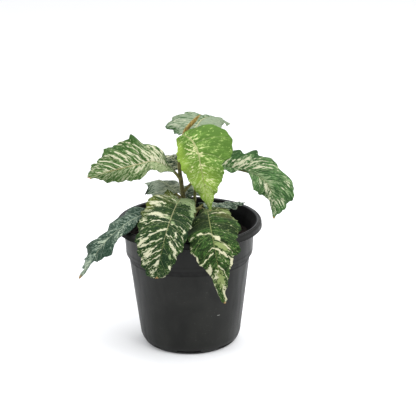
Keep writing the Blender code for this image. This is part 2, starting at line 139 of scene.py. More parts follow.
def tube(points, radii, resolution=2):
    # a round tube along points in metres, as a mesh with closed ends
    line = added(bpy.ops.curve.primitive_nurbs_path_add)
    line.data.splines.clear()
    spline = line.data.splines.new("POLY")
    spline.points.add(len(points) - 1)
    for spot, place, radius in zip(spline.points, points, radii):
        spot.co = (*place, 1)
        spot.radius = radius
    line.data.bevel_depth = 1.0
    line.data.bevel_resolution = resolution
    line.data.use_fill_caps = True
    bpy.ops.object.convert(target="MESH")
    bpy.ops.object.shade_smooth()
    return bpy.context.object


def pullRing(start, end):
    # extrudes the selected ring of edges from one (radius, height) in millimetres to the next
    share = end[0] / start[0]
    bpy.ops.mesh.extrude_edges_move()
    bpy.ops.transform.translate(value=(0, 0, (end[1] - start[1]) * mm))
    bpy.ops.transform.resize(value=(share, share, 1), center_override=(0, 0, 0))


# Node helpers

def put(tree, kind, sockets=None, **settings):
    node = tree.nodes.new(kind)
    for key, value in settings.items():
        setattr(node, key, value)
    for key, value in (sockets or {}).items():
        if isinstance(value, bpy.types.NodeSocket):
            tree.links.new(value, node.inputs[key])
        else:
            node.inputs[key].default_value = value
    return node


def maths(tree, operation, a, b=0.0, c=0.0):
    return put(tree, "ShaderNodeMath", {0: a, 1: b, 2: c}, operation=operation).outputs[0]


def vectorMaths(tree, operation, a, b=(0, 0, 0)):
    outputs = put(tree, "ShaderNodeVectorMath", {0: a, 1: b}, operation=operation).outputs
    return outputs["Value" if operation == "LENGTH" else "Vector"]


def partsOf(tree, vector):
    return put(tree, "ShaderNodeSeparateXYZ", {0: vector}).outputs


def placeOf(tree):
    return put(tree, "ShaderNodeTexCoord").outputs["Object"]


def drawnOut(tree, place, share):
    # a place whose height counts less, so that a pattern on it runs up and down
    return put(tree, "ShaderNodeMapping", {"Vector": place, "Scale": (1.0, 1.0, share)}).outputs[0]


def ramp(tree, value, low, high, start=0.0, end=1.0):
    sockets = {"Value": value, "From Min": low, "From Max": high, "To Min": start, "To Max": end}
    return put(tree, "ShaderNodeMapRange", sockets, interpolation_type="SMOOTHSTEP").outputs["Result"]


def band(tree, value, low, full, fading, high):
    # 1 from full to fading, falling to 0 at low and high
    return maths(tree, "MULTIPLY", ramp(tree, value, low, full), ramp(tree, value, fading, high, 1.0, 0.0))


def blend(tree, factor, a, b):
    return put(tree, "ShaderNodeMix", {0: factor, 6: a, 7: b}, data_type="RGBA").outputs[2]


def layered(tree, base, *layers):
    # each layer, a share and a colour, goes over those before it
    for share, tone in layers:
        base = blend(tree, share, base, tone)
    return base


def cloud(tree, vector, scale, detail, rough, distortion=0.0):
    sockets = {"Vector": vector, "Scale": scale, "Detail": detail, "Roughness": rough}
    return put(tree, "ShaderNodeTexNoise", sockets | {"Distortion": distortion}).outputs["Fac"]


def newGroup(name, ins, outs):
    group = bpy.data.node_groups.new(name, "ShaderNodeTree")
    for label in ins:
        kind = "NodeSocketVector" if label in ("UV", "Place") else "NodeSocketFloat"
        group.interface.new_socket(label, in_out="INPUT", socket_type=kind)
    for label in outs:
        group.interface.new_socket(label, in_out="OUTPUT", socket_type="NodeSocketFloat")
    return group, put(group, "NodeGroupInput").outputs


def closeGroup(group, values):
    ends = put(group, "NodeGroupOutput").inputs
    for label, value in values.items():
        group.links.new(value, ends[label])
    return group


def grouped(tree, group, sockets):
    return put(tree, "ShaderNodeGroup", sockets, node_tree=group).outputs


def newMaterial(name, rough, specular):
    material = bpy.data.materials.new(name)
    material.use_nodes = True
    shader = material.node_tree.nodes["Principled BSDF"]
    shader.inputs["Roughness"].default_value = rough
    shader.inputs["Specular IOR Level"].default_value = specular
    return material, material.node_tree, shader


def feed(tree, shader, base, rough, height, bumpDistance, bumpStrength):
    sockets = {"Height": height, "Distance": bumpDistance, "Strength": bumpStrength}
    normal = put(tree, "ShaderNodeBump", sockets).outputs["Normal"]
    for label, value in (("Base Color", base), ("Roughness", rough), ("Normal", normal)):
        tree.links.new(value, shader.inputs[label])


# Camera, light and floor, in metres, degrees and watts, with the lens in millimetres

studio = {
    "distance": 1.6, "elevation": 18.8, "roll": -0.73, "target": (0.0198, 0.0, 0.1426), "lens": 134.7,
    "floorSize": 30.0, "floorColour": (243, 244, 246), "skyColour": (255, 255, 255),
    "skyLevels": (0.38, 0.95), "skyTop": 0.25,  # darker behind the camera, as in a small studio
    "lightAim": (0, 0, 0.12),
    "lights": {  # place, size and power
        "keyLight": ((0.75, -0.75, 1.25), 0.7, 16.0),
        "fillLight": ((-1.1, -0.35, 0.75), 0.9, 6.0),
        "topLight": ((0.15, 0.45, 1.4), 0.9, 7.0),
    },
}


def makeCamera():
    tip, roll = math.radians(studio["elevation"]), math.radians(studio["roll"])
    forward = Vector((0, math.cos(tip), -math.sin(tip)))
    side, up = Vector((1, 0, 0)), Vector((0, math.sin(tip), math.cos(tip)))
    turnedSide = side * math.cos(roll) + up * math.sin(roll)
    turnedUp = up * math.cos(roll) - side * math.sin(roll)
    axes = Matrix((turnedSide, turnedUp, -forward)).transposed()
    place = Vector(studio["target"]) - forward * studio["distance"]
    camera = added(bpy.ops.object.camera_add)
    camera.matrix_world = Matrix.Translation(place) @ axes.to_4x4()
    camera.data.lens = studio["lens"]
    camera.data.clip_end = 100
    bpy.context.scene.camera = camera


def makeLight(name, place, size, power):
    light = added(bpy.ops.object.light_add, type="AREA", location=place)
    light.name = name
    light.data.size = size
    light.data.energy = power
    aim = Vector(studio["lightAim"]) - Vector(place)
    light.rotation_euler = aim.to_track_quat("-Z", "Y").to_euler()


def makeFloor():
    floor = added(bpy.ops.mesh.primitive_plane_add, size=studio["floorSize"])
    floor.name = "floor"
    material, tree, shader = newMaterial("paleFloor", 0.9, 0.2)
    shader.inputs["Base Color"].default_value = colour(*studio["floorColour"])
    dress(floor, material)


def makeSky():
    world = bpy.data.worlds.new("softSky")
    world.use_nodes = True
    bpy.context.scene.world = world
    tree = world.node_tree
    back = tree.nodes["Background"]
    facing = partsOf(tree, put(tree, "ShaderNodeTexCoord").outputs["Generated"])
    front = ramp(tree, facing["Y"], -0.75, 0.2, *studio["skyLevels"])
    upward = ramp(tree, facing["Z"], 0.0, 0.9, 0.0, studio["skyTop"])
    level = maths(tree, "ADD", front, upward)
    seen = put(tree, "ShaderNodeLightPath").outputs["Is Camera Ray"]
    tree.links.new(maths(tree, "MAXIMUM", seen, level), back.inputs["Strength"])
    back.inputs["Color"].default_value = colour(*studio["skyColour"])


makeCamera()
makeFloor()
makeSky()
for name, (place, size, power) in studio["lights"].items():
    makeLight(name, place, size, power)
bpy.context.scene.view_settings.view_transform = "Standard"
print("studio ready")


# What the leaves share, in millimetres and degrees. A leaf's own entry of the same name takes its place.

leafForm = {
    "stem": "stem_main", "lobes": [], "liftLeft": [0], "liftRight": [0],
    "thickness": 0.5, "curl": -20, "veins": 9, "veinAngle": (40, 75, 1.8),
    "arc": 0.05, "veinShift": 0.45,  # how far the side veins bend, and how far the right ones are set off
    "scallop": 0.04, "smallScallops": (0.35, 2.7, 3),  # height, count and shift against the scallops'
    "wave": 2, "waves": 5, "phases": (0, 0.4), "ripple": (0.45, 2.3), "fullWaveWidth": 12,
    "quilt": 0.3, "groove": 0.28, "grooveReach": 0.55, "ribGrooveReach": 0.7,
    "ribSamples": 201, "directionReach": 1 / 60, "edgeCrowding": 1.2,
    "stalkRadius": 1.5, "stalkInset": 0.4, "stalkRise": 0.8, "stalkSteps": 15,
    "stalkSwell": 0.35, "swellReach": 2.5, "stalkTones": ((88, 86, 42), (132, 128, 72)),  # dark and light
    "ribEndRadius": 0.45, "ribReach": 0.8, "ribSink": 0.1, "ribSteps": 30,
    "dabs": {}, "streaks": [], "dabLimit": 0.55, "creamLimit": 1.05,
    "streakWaver": (0.004, 21, 90), "streakFade": 0.05, "streakTaper": 0.5,
    "grainScale": 2600, "fray": 2.4, "skew": 0, "net": 0.05,
    "veinShow": 0.35, "ribShow": 0.7, "ribWide": 0.55,
    "underTone": (112, 130, 104), "underShare": 0.55, "dryTone": (150, 120, 80), "dryTip": 0.02,
}


# Leaf shader groups

marbleClouds = {  # scale along and across the leaf, place in the noise, detail, roughness, distortion
    "streak": (0.42, 0.13, 0.0, 4.0, 0.65, 0.6),
    "patch": (0.085, 0.075, 7.0, 2.0, 0.5, 0.6),
    "teeth": (0.62, 0.40, 13.0, 3.0, 0.68, 0.6),
    "fine": (0.85, 0.6, 19.0, 2.0, 0.6, 0.3),
    "ridge": (0.55, 0.11, 23.0, 3.0, 0.6, 0.5),
}
marbleCuts = {"cream": (0.48, 0.56), "core": (0.48, 0.74), "frost": (0.40, 0.66), "specks": (0.62, 0.69)}
veinForm = {  # widths as (change, start), along the rib and from the rib to the edge, and the fine net
    "ribTaper": (-0.009, 1.35), "veinTaper": (-0.26, 0.42), "netScale": 0.42, "netCut": (0.02, 0.16),
}


def coordinatesGroup():
    # turns the leaf's own UV into millimetres along and across it, and the distance to the next side vein
    ins = ["UV", "Length", "Width", "Veins", "Arc"]
    group, i = newGroup("leafCoordinates", ins, ["Along", "Across", "Reach", "Vein Distance"])
    calc = partial(maths, group)
    uv = partsOf(group, i["UV"])
    side = calc("MULTIPLY_ADD", uv["Y"], 2.0, -1.0)
    reach = calc("ABSOLUTE", side)
    shift = calc("MULTIPLY", calc("GREATER_THAN", side, 0.0), leafForm["veinShift"])
    bent = calc("SUBTRACT", uv["X"], calc("MULTIPLY", i["Arc"], calc("POWER", reach, 2.0)))
    phase = calc("MULTIPLY_ADD", bent, i["Veins"], shift)
    gap = calc("ABSOLUTE", calc("SUBTRACT", calc("FRACT", phase), 0.5))
    return closeGroup(group, {
        "Along": calc("MULTIPLY", uv["X"], i["Length"]),
        "Across": calc("MULTIPLY", side, i["Width"]),
        "Reach": reach,
        "Vein Distance": calc("MULTIPLY", gap, calc("DIVIDE", i["Length"], i["Veins"])),
    })


def marbleGroup():
    # streaks that follow the side veins, broad patches and small flecks, cut to frayed masks
    ins = ["Along", "Across", "Cream", "Frost", "Seed", "Fray", "Skew"]
    group, i = newGroup("leafMarble", ins, ["Cream Mask", "Frost And Sheen Mask", "Tone", "Core"])
    calc = partial(maths, group)
    slant = calc("MULTIPLY", calc("ABSOLUTE", i["Across"]), i["Skew"])
    along = calc("SUBTRACT", i["Along"], slant)

    def stretched(alongScale, acrossScale, shift, *noiseForm):
        sockets = {
            "X": calc("MULTIPLY", along, alongScale),
            "Y": calc("MULTIPLY", i["Across"], acrossScale),
            "Z": calc("ADD", i["Seed"], shift),
        }
        return cloud(group, put(group, "ShaderNodeCombineXYZ", sockets).outputs[0], 1.0, *noiseForm)

    clouds = {key: stretched(*values) for key, values in marbleClouds.items()}
    # how far each cloud is from its middle value
    off = {key: calc("SUBTRACT", value, 0.5) for key, value in clouds.items() if key != "fine"}
    mixed = calc("MULTIPLY_ADD", off["streak"], i["Fray"], i["Cream"])
    mixed = calc("MULTIPLY_ADD", off["patch"], 0.5, mixed)
    mixed = calc("MULTIPLY_ADD", off["teeth"], 2.2, mixed)
    lines = ramp(group, calc("ABSOLUTE", off["ridge"]), 0.0, 0.045, 1.0, 0.0)
    mixed = calc("MULTIPLY_ADD", lines, 0.2, mixed)
    specks = calc("MULTIPLY", ramp(group, clouds["fine"], *marbleCuts["specks"]), 0.8)
    # the pale grey-green mask: marbling, and a painted glancing sheen where its amount is set high
    pale = calc("MULTIPLY_ADD", off["streak"], 1.6, i["Frost"])
    pale = calc("MULTIPLY_ADD", off["teeth"], 1.8, pale)
    return closeGroup(group, {
        "Cream Mask": calc("MAXIMUM", ramp(group, mixed, *marbleCuts["cream"]), specks),
        "Frost And Sheen Mask": ramp(group, pale, *marbleCuts["frost"]),
        "Tone": calc("MULTIPLY_ADD", clouds["streak"], 0.6, calc("MULTIPLY", clouds["fine"], 0.4)),
        "Core": ramp(group, mixed, *marbleCuts["core"]),
    })


def veinGroup():
    # masks for the midrib, the side veins and the fine net, and a relief for the bump
    ins = ["Along", "Across", "Reach", "Vein Distance", "Rib Width"]
    group, i = newGroup("leafVeins", ins, ["Rib Mask", "Vein Mask", "Net Mask", "Relief"])
    calc = partial(maths, group)
    ribWide = calc("MULTIPLY", i["Rib Width"], calc("MULTIPLY_ADD", i["Along"], *veinForm["ribTaper"]))
    rib = ramp(group, calc("DIVIDE", calc("ABSOLUTE", i["Across"]), ribWide), 0.4, 1.0, 1.0, 0.0)
    veinWide = calc("MULTIPLY_ADD", i["Reach"], *veinForm["veinTaper"])
    vein = ramp(group, calc("DIVIDE", i["Vein Distance"], veinWide), 0.35, 1.0, 1.0, 0.0)
    place = put(group, "ShaderNodeCombineXYZ", {"X": i["Along"], "Y": i["Across"]}).outputs[0]
    sockets = {"Vector": place, "Scale": veinForm["netScale"]}
    cells = put(group, "ShaderNodeTexVoronoi", sockets, feature="DISTANCE_TO_EDGE").outputs["Distance"]
    bulge = ramp(group, cells, 0.0, 0.5)
    return closeGroup(group, {
        "Rib Mask": rib,
        "Vein Mask": vein,
        "Net Mask": ramp(group, cells, *veinForm["netCut"], 1.0, 0.0),
        "Relief": calc("MULTIPLY_ADD", calc("MAXIMUM", rib, vein), -1.0, calc("MULTIPLY", bulge, 0.6)),
    })


def grainGroup():
    # fine even grain for leaves and moulded plastic
    group, i = newGroup("fineGrain", ["Place", "Scale"], ["Grain"])
    return closeGroup(group, {"Grain": cloud(group, i["Place"], i["Scale"], 3.0, 0.6)})


leafCoordinates = coordinatesGroup()
leafMarble = marbleGroup()
leafVeins = veinGroup()
fineGrain = grainGroup()
print("shader groups ready")


# Leaf and bark materials

def leafMaterial(name, leaf, length, width, under):
    material, tree, shader = newMaterial(name, 0.62, 0.06)
    uv = put(tree, "ShaderNodeUVMap", uv_map="UVMap").outputs["UV"]
    sockets = {"UV": uv, "Length": length, "Width": width, "Veins": leaf["veins"], "Arc": leaf["arc"]}
    spot = grouped(tree, leafCoordinates, sockets)
    brush = put(tree, "ShaderNodeAttribute", attribute_name="paint").outputs["Vector"]
    cream, frost, deep = partsOf(tree, brush)
    sockets = {"Along": spot["Along"], "Across": spot["Across"], "Cream": cream, "Frost": frost}
    sockets |= {"Seed": leaf["seed"], "Fray": leaf["fray"], "Skew": leaf["skew"]}
    marble = grouped(tree, leafMarble, sockets)
    sockets = {k: spot[k] for k in ("Along", "Across", "Reach", "Vein Distance")}
    veins = grouped(tree, leafVeins, sockets | {"Rib Width": leaf["ribWide"]})

    tones = {k: colour(*leaf[k]) for k in ("dark", "green", "frostySheen", "creamy", "veinTone")}
    tones["warm"] = colour(*leaf.get("warm", leaf["green"]))
    if under:
        share, below = leaf["underShare"], colour(*leaf["underTone"])
        tones = {k: [(1 - share) * a + share * b for a, b in zip(tones[k], below)] for k in tones}
    dry = ramp(tree, spot["Along"], length * (1 - leaf["dryTip"]), length * 0.995)
    base = layered(
        tree, tones["dark"],
        (ramp(tree, marble["Tone"], 0.42, 0.60), tones["green"]),
        (ramp(tree, deep, 0.0, 1.0), tones["dark"]),
        (ramp(tree, deep, -1.0, 0.0, 1.0, 0.0), tones["warm"]),
        # pale grey-green marbling, and a painted glancing sheen on leaves where its amount is high
        (marble["Frost And Sheen Mask"], tones["frostySheen"]),
        (marble["Cream Mask"], blend(tree, marble["Core"], tones["frostySheen"], tones["creamy"])),
        (maths(tree, "MULTIPLY", veins["Net Mask"], leaf["net"]), tones["frostySheen"]),
        (maths(tree, "MULTIPLY", veins["Vein Mask"], leaf["veinShow"]), tones["veinTone"]),
        (maths(tree, "MULTIPLY", veins["Rib Mask"], leaf["ribShow"]), tones["veinTone"]),
        (dry, colour(*leaf["dryTone"])),
    )
    rough = ramp(tree, marble["Tone"], 0.3, 0.7, 0.50, 0.66)
    grain = grouped(tree, fineGrain, {"Place": placeOf(tree), "Scale": leaf["grainScale"]})["Grain"]
    relief = maths(tree, "MULTIPLY", veins["Relief"], -0.8 if under else 0.8)
    feed(tree, shader, base, rough, maths(tree, "MULTIPLY_ADD", grain, 0.35, relief), 0.0005, 0.7)
    return material


def paler(tone, amount):
    return colour(*[min(255, v + amount) for v in tone])


bark = {"stripeScale": 900, "stripeDraw": 0.25, "spotScale": 1500, "spotPaler": 45, "sheenPaler": 70}


def barkMaterial(name, dark, light, rough=0.6):
    material, tree, shader = newMaterial(name, rough, 0.35)
    place = placeOf(tree)
    stripes = cloud(tree, drawnOut(tree, place, bark["stripeDraw"]), bark["stripeScale"], 3.0, 0.6, 0.4)
    spots = cloud(tree, place, bark["spotScale"], 2.0, 0.6)
    edge = put(tree, "ShaderNodeLayerWeight", {"Blend": 0.5}).outputs["Facing"]
    base = layered(
        tree, colour(*dark),
        (ramp(tree, stripes, 0.35, 0.65), colour(*light)),
        (ramp(tree, spots, 0.6, 0.72, 0.0, 0.5), paler(light, bark["spotPaler"])),
        # a painted sheen, paler where the surface turns away from the view
        (ramp(tree, edge, 0.55, 0.95, 0.0, 0.6), paler(light, bark["sheenPaler"])),
    )
    height = maths(tree, "MULTIPLY_ADD", spots, 0.6, stripes)
    feed(tree, shader, base, ramp(tree, spots, 0.3, 0.7, rough - 0.1, rough + 0.15), height, 0.0003, 0.6)
    return material


stalkBark = barkMaterial("stalkSkin", *leafForm["stalkTones"])


# Leaves, in millimetres and degrees. rib runs from the blade's foot to its tip, facing is the way the upper
# side looks, left and right are half widths, lifts raise each half. lobes are bumps and notches of the
# edge, as (half, along, height, reach). cream and the frost and sheen pair are how much of the left and the
# right half is marbled cream and pale grey-green; where the frost and sheen pair is set high, its pale
# grey-green is also a painted glancing sheen. dabs are soft spots, as (along, across, reach along, reach
# across, amount). streaks are cream lines, as (along at the start, along at the end, across at the start,
# across at the end, width, amount), dark where the amount is negative. Places and reaches in lobes, dabs
# and
# streaks are per cent: along from 0 at the foot to 100 at the tip, across from -100 at the left edge to 100
# at the right.

leaves = {
    "leaf_upper_left": {
        "node": 175, "grid": (190, 72),
        "rib": [
            (-17.3, -2, 186.8), (-34.4, -4, 194.5), (-50.6, -6, 192.2), (-68.8, -9, 189.1),
            (-83.9, -13, 186.3), (-98.9, -17, 182),
        ],
        "facing": [(0, -0.45, 0.9), (0, -0.55, 0.8), (0, -0.5, 0.8), (-0.3, -0.5, 0.7)],
        "left": [9, 10, 12.5, 10, 18, 14.5, 17.5, 15, 11, 3.5, 2],
        "right": [7, 12.5, 20, 32, 33, 33, 28, 23, 19, 11, 3],
        "liftLeft": [36, 14, -28, -58, -36], "liftRight": [-8, 24, 22, 12, 10],
        "lobes": [("right", 26.5, -3, 2), ("right", 31.5, 3.5, 3), ("right", 45, 2, 3)],
        "waves": 5.2, "phases": (0.1, 0.45), "seed": 3.1, "dark": (44, 74, 30), "green": (80, 112, 60),
        "frostySheen": (132, 146, 106), "creamy": (186, 186, 158), "veinTone": (196, 192, 152),
        "cream": (0.08, 0.3), "frost": (0.52, 0.34), "skew": 0.45,
        "dabs": {
            "cream": [(40, -25, 7, 30, 0.35), (16, 40, 12, 90, 0.1)],
            "frost": [(15, -50, 14, 80, 0.25), (18, 50, 10, 50, 0.2)],
            "dark": [(33.5, 100, 4.5, 30, 1.3), (50, 90, 5, 22, 0.5), (60, -70, 30, 50, 0.2)],
        },
        "streaks": [
            (6, 27, 10, 100, 0.7, 0.45), (9, 30, 5, 95, 0.7, 0.45), (13, 33, 5, 90, 0.8, 0.5),
            (17, 36, 0, 85, 0.8, 0.5), (22, 40, 0, 100, 1, 0.6), (27, 42, 0, 90, 0.8, 0.45),
            (33, 44, 0, 70, 0.9, 0.5), (38, 48, 0, 60, 0.8, 0.45), (45, 52, 0, 80, 0.9, 0.45),
            (52, 58, 10, 90, 0.8, 0.45), (60, 65, 5, 95, 0.9, 0.5), (68, 72, 0, 90, 0.9, 0.5),
            (75, 79, 0, 95, 0.9, 0.5), (84, 87, 0, 90, 0.8, 0.45), (36, 46, 35, 90, 1.1, -0.6),
            (31, 39, 40, 85, 0.9, -0.5), (25, 34, 30, 80, 0.7, -0.5), (40, 45, 5, 45, 0.9, -0.6),
            (11, 31, 10, 90, 0.5, -0.4), (56, 61, 20, 70, 0.8, -0.5), (30, 42, -10, -55, 1, 0.5),
            (36, 46, -10, -45, 0.8, 0.45),
        ],
    },
    "leaf_top_back": {
        "node": 218, "grid": (150, 60),
        "rib": [
            (0.5, 6, 220.8), (8.6, 18, 224.1), (15.8, 40, 226.2), (27.3, 62, 222.6), (44.3, 80, 209.9),
        ],
        "facing": [(0, -0.2, 1), (0, -0.1, 1), (0.2, 0.1, 1), (0.5, 0.2, 0.8)],
        "left": [10, 23, 33, 41, 33, 19, 11, 8, 9, 9, 1], "right": [14, 18, 20, 20, 17, 12, 8, 1],
        "liftLeft": [0, 8, 8, 10, 16, 22, 10, 10, 20, 20, 0], "liftRight": [0, 0, 0],
        "lobes": [("left", 37, 5.5, 1.8), ("left", 41, -5, 1.6), ("left", 45.5, 6.5, 2)],
        "curl": -24, "phases": (0.2, 0.5), "seed": 11.4, "dark": (52, 84, 46), "green": (82, 112, 72),
        # the pale grey-green tone here, and its high amount on the next line, are pale marbling and a
        # painted glancing sheen
        "frostySheen": (124, 138, 114), "creamy": (164, 170, 146), "veinTone": (186, 188, 148),
        "cream": (0.16, 0.14), "frost": (0.66, 0.85), "fray": 1.3,
        "dabs": {
            "cream": [(20, -80, 10, 25, 0.3)],
            "dark": [
                (10, -95, 14, 20, 0.9), (24, -100, 10, 12, 0.8), (45, -100, 4, 15, 0.6),
                (75, 0, 30, 100, 0.3),
            ],
        },
        "streaks": [
            (12, 12, 0, -80, 0.8, 0.25), (20, 22, 0, -90, 0.8, 0.25), (30, 33, 0, -90, 0.8, 0.25),
        ],
    },
    "leaf_new": {
        "node": 219.5, "grid": (170, 72),
        "rib": [
            (-4, -6.2, 223.5), (4.6, -14, 218.6), (10.6, -22, 207.4), (13.3, -27, 194.2),
            (17, -29, 173.7), (22.3, -27, 149.1),
        ],
        "facing": [(-0.1, -0.8, 0.6), (0, -1, 0.25), (0.05, -1, 0.1), (0.1, -1, 0)],
        "left": [2, 22, 35.5, 34, 24.5, 25, 19, 14.5, 9, 4.5, 1],
        "right": [8, 17, 21.5, 21.5, 20, 17, 14, 10.5, 7, 3.5, 1],
        "liftLeft": [-8, 0, 0], "liftRight": [8, 2, 0],
        "lobes": [("left", 25, 4, 3.5)],
        "curl": -15, "waves": 4.5, "phases": (0.3, 0.6), "veins": 8, "seed": 5.7, "dark": (76, 108, 44),
        "green": (98, 132, 58), "warm": (134, 162, 62), "frostySheen": (156, 178, 104),
        "creamy": (200, 202, 152), "veinTone": (188, 192, 140), "cream": (0.06, 0.08),
        "frost": (0.22, 0.26), "fray": 2, "net": 0, "veinShow": 0.2, "ribWide": 0.62,
        "dabs": {
            "cream": [
                (72, 0, 25, 120, 0.16), (20, 25, 8, 20, 0.12), (42, 45, 2, 8, 0.8), (50, 15, 2, 15, 0.4),
                (43, -12, 1.5, 10, 0.5),
            ],
            "frost": [(75, 0, 30, 120, 0.35), (25, -40, 8, 40, 0.2)],
            "dark": [(14, -75, 10, 40, 0.5), (30, -90, 12, 30, 0.3)],
            "warm": [(12, 95, 12, 35, 0.9), (35, 90, 20, 40, 0.6), (75, 0, 30, 120, 0.9)],
        },
        "streaks": [
            (29, 18, 5, 50, 0.8, 0.6), (24, 14, 2, 35, 0.5, 0.45), (20, 11, 5, 30, 0.5, 0.45),
            (31, 25, 5, 50, 0.8, 0.5), (35, 31, 5, 45, 0.5, 0.3), (31, 32, 0, -30, 1.3, 0.6),
            (34, 35, 0, -20, 0.8, 0.45), (27, 26, -10, -60, 0.5, 0.25), (22, 20, -10, -70, 0.5, 0.25),
            (44, 46, 0, -40, 0.5, 0.3), (52, 55, -10, -70, 0.6, 0.3), (58, 60, -30, -80, 0.7, 0.3),
        ],
    },
    "leaf_upper_right": {
        "node": 160, "grid": (200, 72),
        "rib": [
            (16.2, 8, 180), (34.7, 9, 182.7), (51, 6, 182.3), (69.2, 0, 177.5), (81.2, -6, 168.6),
            (86.2, -10, 155.9), (86.6, -12, 135),
        ],
        "facing": [(0, -0.3, 1), (0, -0.35, 0.95), (0.2, -0.75, 0.7), (0.35, -0.95, 0.2), (0.3, -1, 0)],
        "left": [8, 12, 18, 25, 25, 27, 31.5, 25.5, 18.5, 9.5, 1.5],
        "right": [12, 15, 15, 13, 9, 18, 16.5, 11, 6, 3, 1],
        "liftLeft": [14, 32, 14, 14, -10], "liftRight": [30, 40, 48, 50, 76, 40, 6, -10, -12, -6, 0],
        "lobes": [("left", 30.5, -4, 2), ("left", 34.5, 3, 2.5), ("left", 52.5, -2, 2)],
        "seed": 8.2, "dark": (44, 72, 38), "green": (78, 116, 64), "frostySheen": (124, 144, 104),
        "creamy": (188, 188, 160), "veinTone": (176, 186, 146), "cream": (0.08, 0.12),
        "frost": (0.34, 0.34), "fray": 2, "skew": 0.35, "ribWide": 0.5, "dryTip": 0.03,
        "dabs": {
            "cream": [
                (27, -30, 10, 30, 0.38), (40, -55, 6, 35, 0.32), (17, -95, 4, 14, 0.7),
                (60, 25, 5, 20, 0.38), (68, 35, 4, 30, 0.4), (82, 50, 10, 50, 0.35),
                (85, -20, 6, 25, 0.3), (75, -60, 3, 12, 0.6), (93, -40, 3, 40, 0.4),
                (60, -80, 2, 12, 0.3),
            ],
            "frost": [(60, -5, 20, 15, 0.3)],
            "dark": [(26, -85, 5, 28, 0.9), (36, -92, 4, 20, 0.9), (16, -60, 3, 20, 0.6)],
        },
        "streaks": [
            (16, 30, -5, -90, 0.9, 0.5), (22, 36, -5, -90, 0.8, 0.45), (28, 42, -5, -90, 1, 0.5),
            (33, 46, -5, -85, 0.9, 0.5), (38, 49, -5, -85, 0.9, 0.5), (43, 52, -5, -85, 1.1, 0.55),
            (36, 48, -10, -70, 0.8, -0.5), (25, 38, -20, -80, 0.8, -0.5), (60, 62, -65, -85, 0.9, 0.5),
            (66, 68, -50, -70, 0.7, 0.4), (78, 80, -30, -70, 0.8, 0.45), (55, 57, 10, 60, 0.8, 0.4),
            (64, 65, 0, 60, 0.8, 0.4), (72, 74, 0, 80, 0.8, 0.4), (51, 54, -10, -60, 0.9, -0.4),
        ],
    },
    "leaf_mid_left": {
        "node": 148, "grid": (110, 44),
        "rib": [(-13, 9, 156.5), (-21.5, 24, 160), (-32.5, 40, 160), (-46.5, 49, 154)],
        "facing": [(0, -0.15, 1), (0, -0.1, 1), (-0.2, 0, 1)],
        "left": [8, 17, 23, 22, 20, 12, 4, 1], "right": [8, 17, 21, 21, 14, 4, 7, 1],
        "lobes": [("left", 48, -4, 3), ("left", 61, 5, 2.5), ("right", 86, 4, 2.5)],
        "waves": 4, "phases": (0.1, 0.5), "veins": 7, "seed": 14.9, "dark": (50, 70, 50),
        # the pale grey-green tone on this line, and its high amount on the next, are pale marbling and a
        # painted glancing sheen
        "green": (88, 104, 84), "frostySheen": (136, 148, 130), "creamy": (198, 204, 178),
        "veinTone": (190, 200, 170), "cream": (0.22, 0.26), "frost": (0.72, 0.72), "fray": 1.3,
        "veinShow": 0.9, "ribWide": 0.9,
        "dabs": {
            "cream": [(15, 20, 12, 60, 0.5)],
            "dark": [(42, -95, 10, 25, 1.4), (65, -80, 12, 30, 1)],
        },
        "streaks": [(10, 22, 0, 90, 0.8, 0.5), (16, 30, 0, 90, 0.8, 0.5), (24, 38, 0, 90, 0.8, 0.4)],
    },
    "leaf_low_left": {
        "node": 133, "grid": (190, 60),
        "rib": [
            (-29.4, -8, 142.5), (-42.3, -18, 143.5), (-55.3, -26, 140.5), (-67.5, -33, 134.5),
            (-82.5, -40, 123), (-95.6, -46, 108.2), (-110.8, -50, 86.8),
        ],
        "facing": [(0, 0, 1), (-0.1, 0.05, 1), (-0.3, -0.1, 1), (-0.6, -0.2, 0.6)],
        "left": [10, 11, 12, 13.5, 17.5, 20, 21.5, 13.5, 4.5, 4, 1],
        "right": [17, 24, 27.5, 28, 22.5, 26, 31, 27, 13, 7, 1],
        "liftLeft": [18, 14, -12], "liftRight": [18, 18, 16],
        "lobes": [
            ("left", 76, -2, 3), ("left", 85, 2.5, 3), ("right", 53, -8, 2), ("right", 59, 3, 2),
            ("right", 76, -3, 2), ("right", 83, 4.5, 2),
        ],
        "seed": 17.3, "dark": (26, 50, 36), "green": (48, 72, 58), "frostySheen": (112, 130, 116),
        "creamy": (162, 174, 152), "veinTone": (156, 170, 146), "cream": (0.18, 0.14),
        "frost": (0.25, 0.3), "net": 0.2, "veinShow": 0.5, "ribWide": 0.9, "dryTip": 0.05,
        "dabs": {
            "cream": [(42, -60, 6, 40, 0.3), (60, 5, 14, 12, 0.35), (88, 0, 10, 100, 0.42)],
            "frost": [(35, 0, 25, 100, 0.2), (85, 0, 12, 100, 0.5)],
            "dark": [
                (66, 75, 6, 35, 0.9), (62, -65, 12, 50, 0.9), (10, 10, 14, 80, 0.9),
                (58, 85, 8, 25, 0.6),
            ],
        },
        "streaks": [
            (52, 54, 0, 70, 1, 0.4), (58, 60, 0, 60, 1, 0.45), (64, 66, 0, -60, 1, 0.4),
            (56, 58, 0, -70, 1, 0.35), (46, 48, 0, 80, 1, 0.35), (38, 40, 0, 90, 1, 0.35),
        ],
    },
    "leaf_front_left": {
        "node": 150, "grid": (210, 76),
        "rib": [
            (-9.6, -13, 156.8), (-15.2, -45, 153.1), (-20.7, -76, 146.2), (-25.5, -92, 131.3),
            (-29.1, -98, 117), (-30.9, -99, 105),
        ],
        "facing": [(0, -0.1, 1), (0, -0.3, 1), (-0.1, -0.75, 0.6), (-0.1, -1, 0.15)],
        "left": [13, 19, 20.5, 22, 23.5, 23.5, 23.5, 20.5, 17.5, 12.5, 1],
        "right": [15, 22.5, 27, 29.5, 31, 31.5, 32, 27, 21, 15, 1],
        "liftLeft": [8, 6, 4], "liftRight": [40, 20, 6],
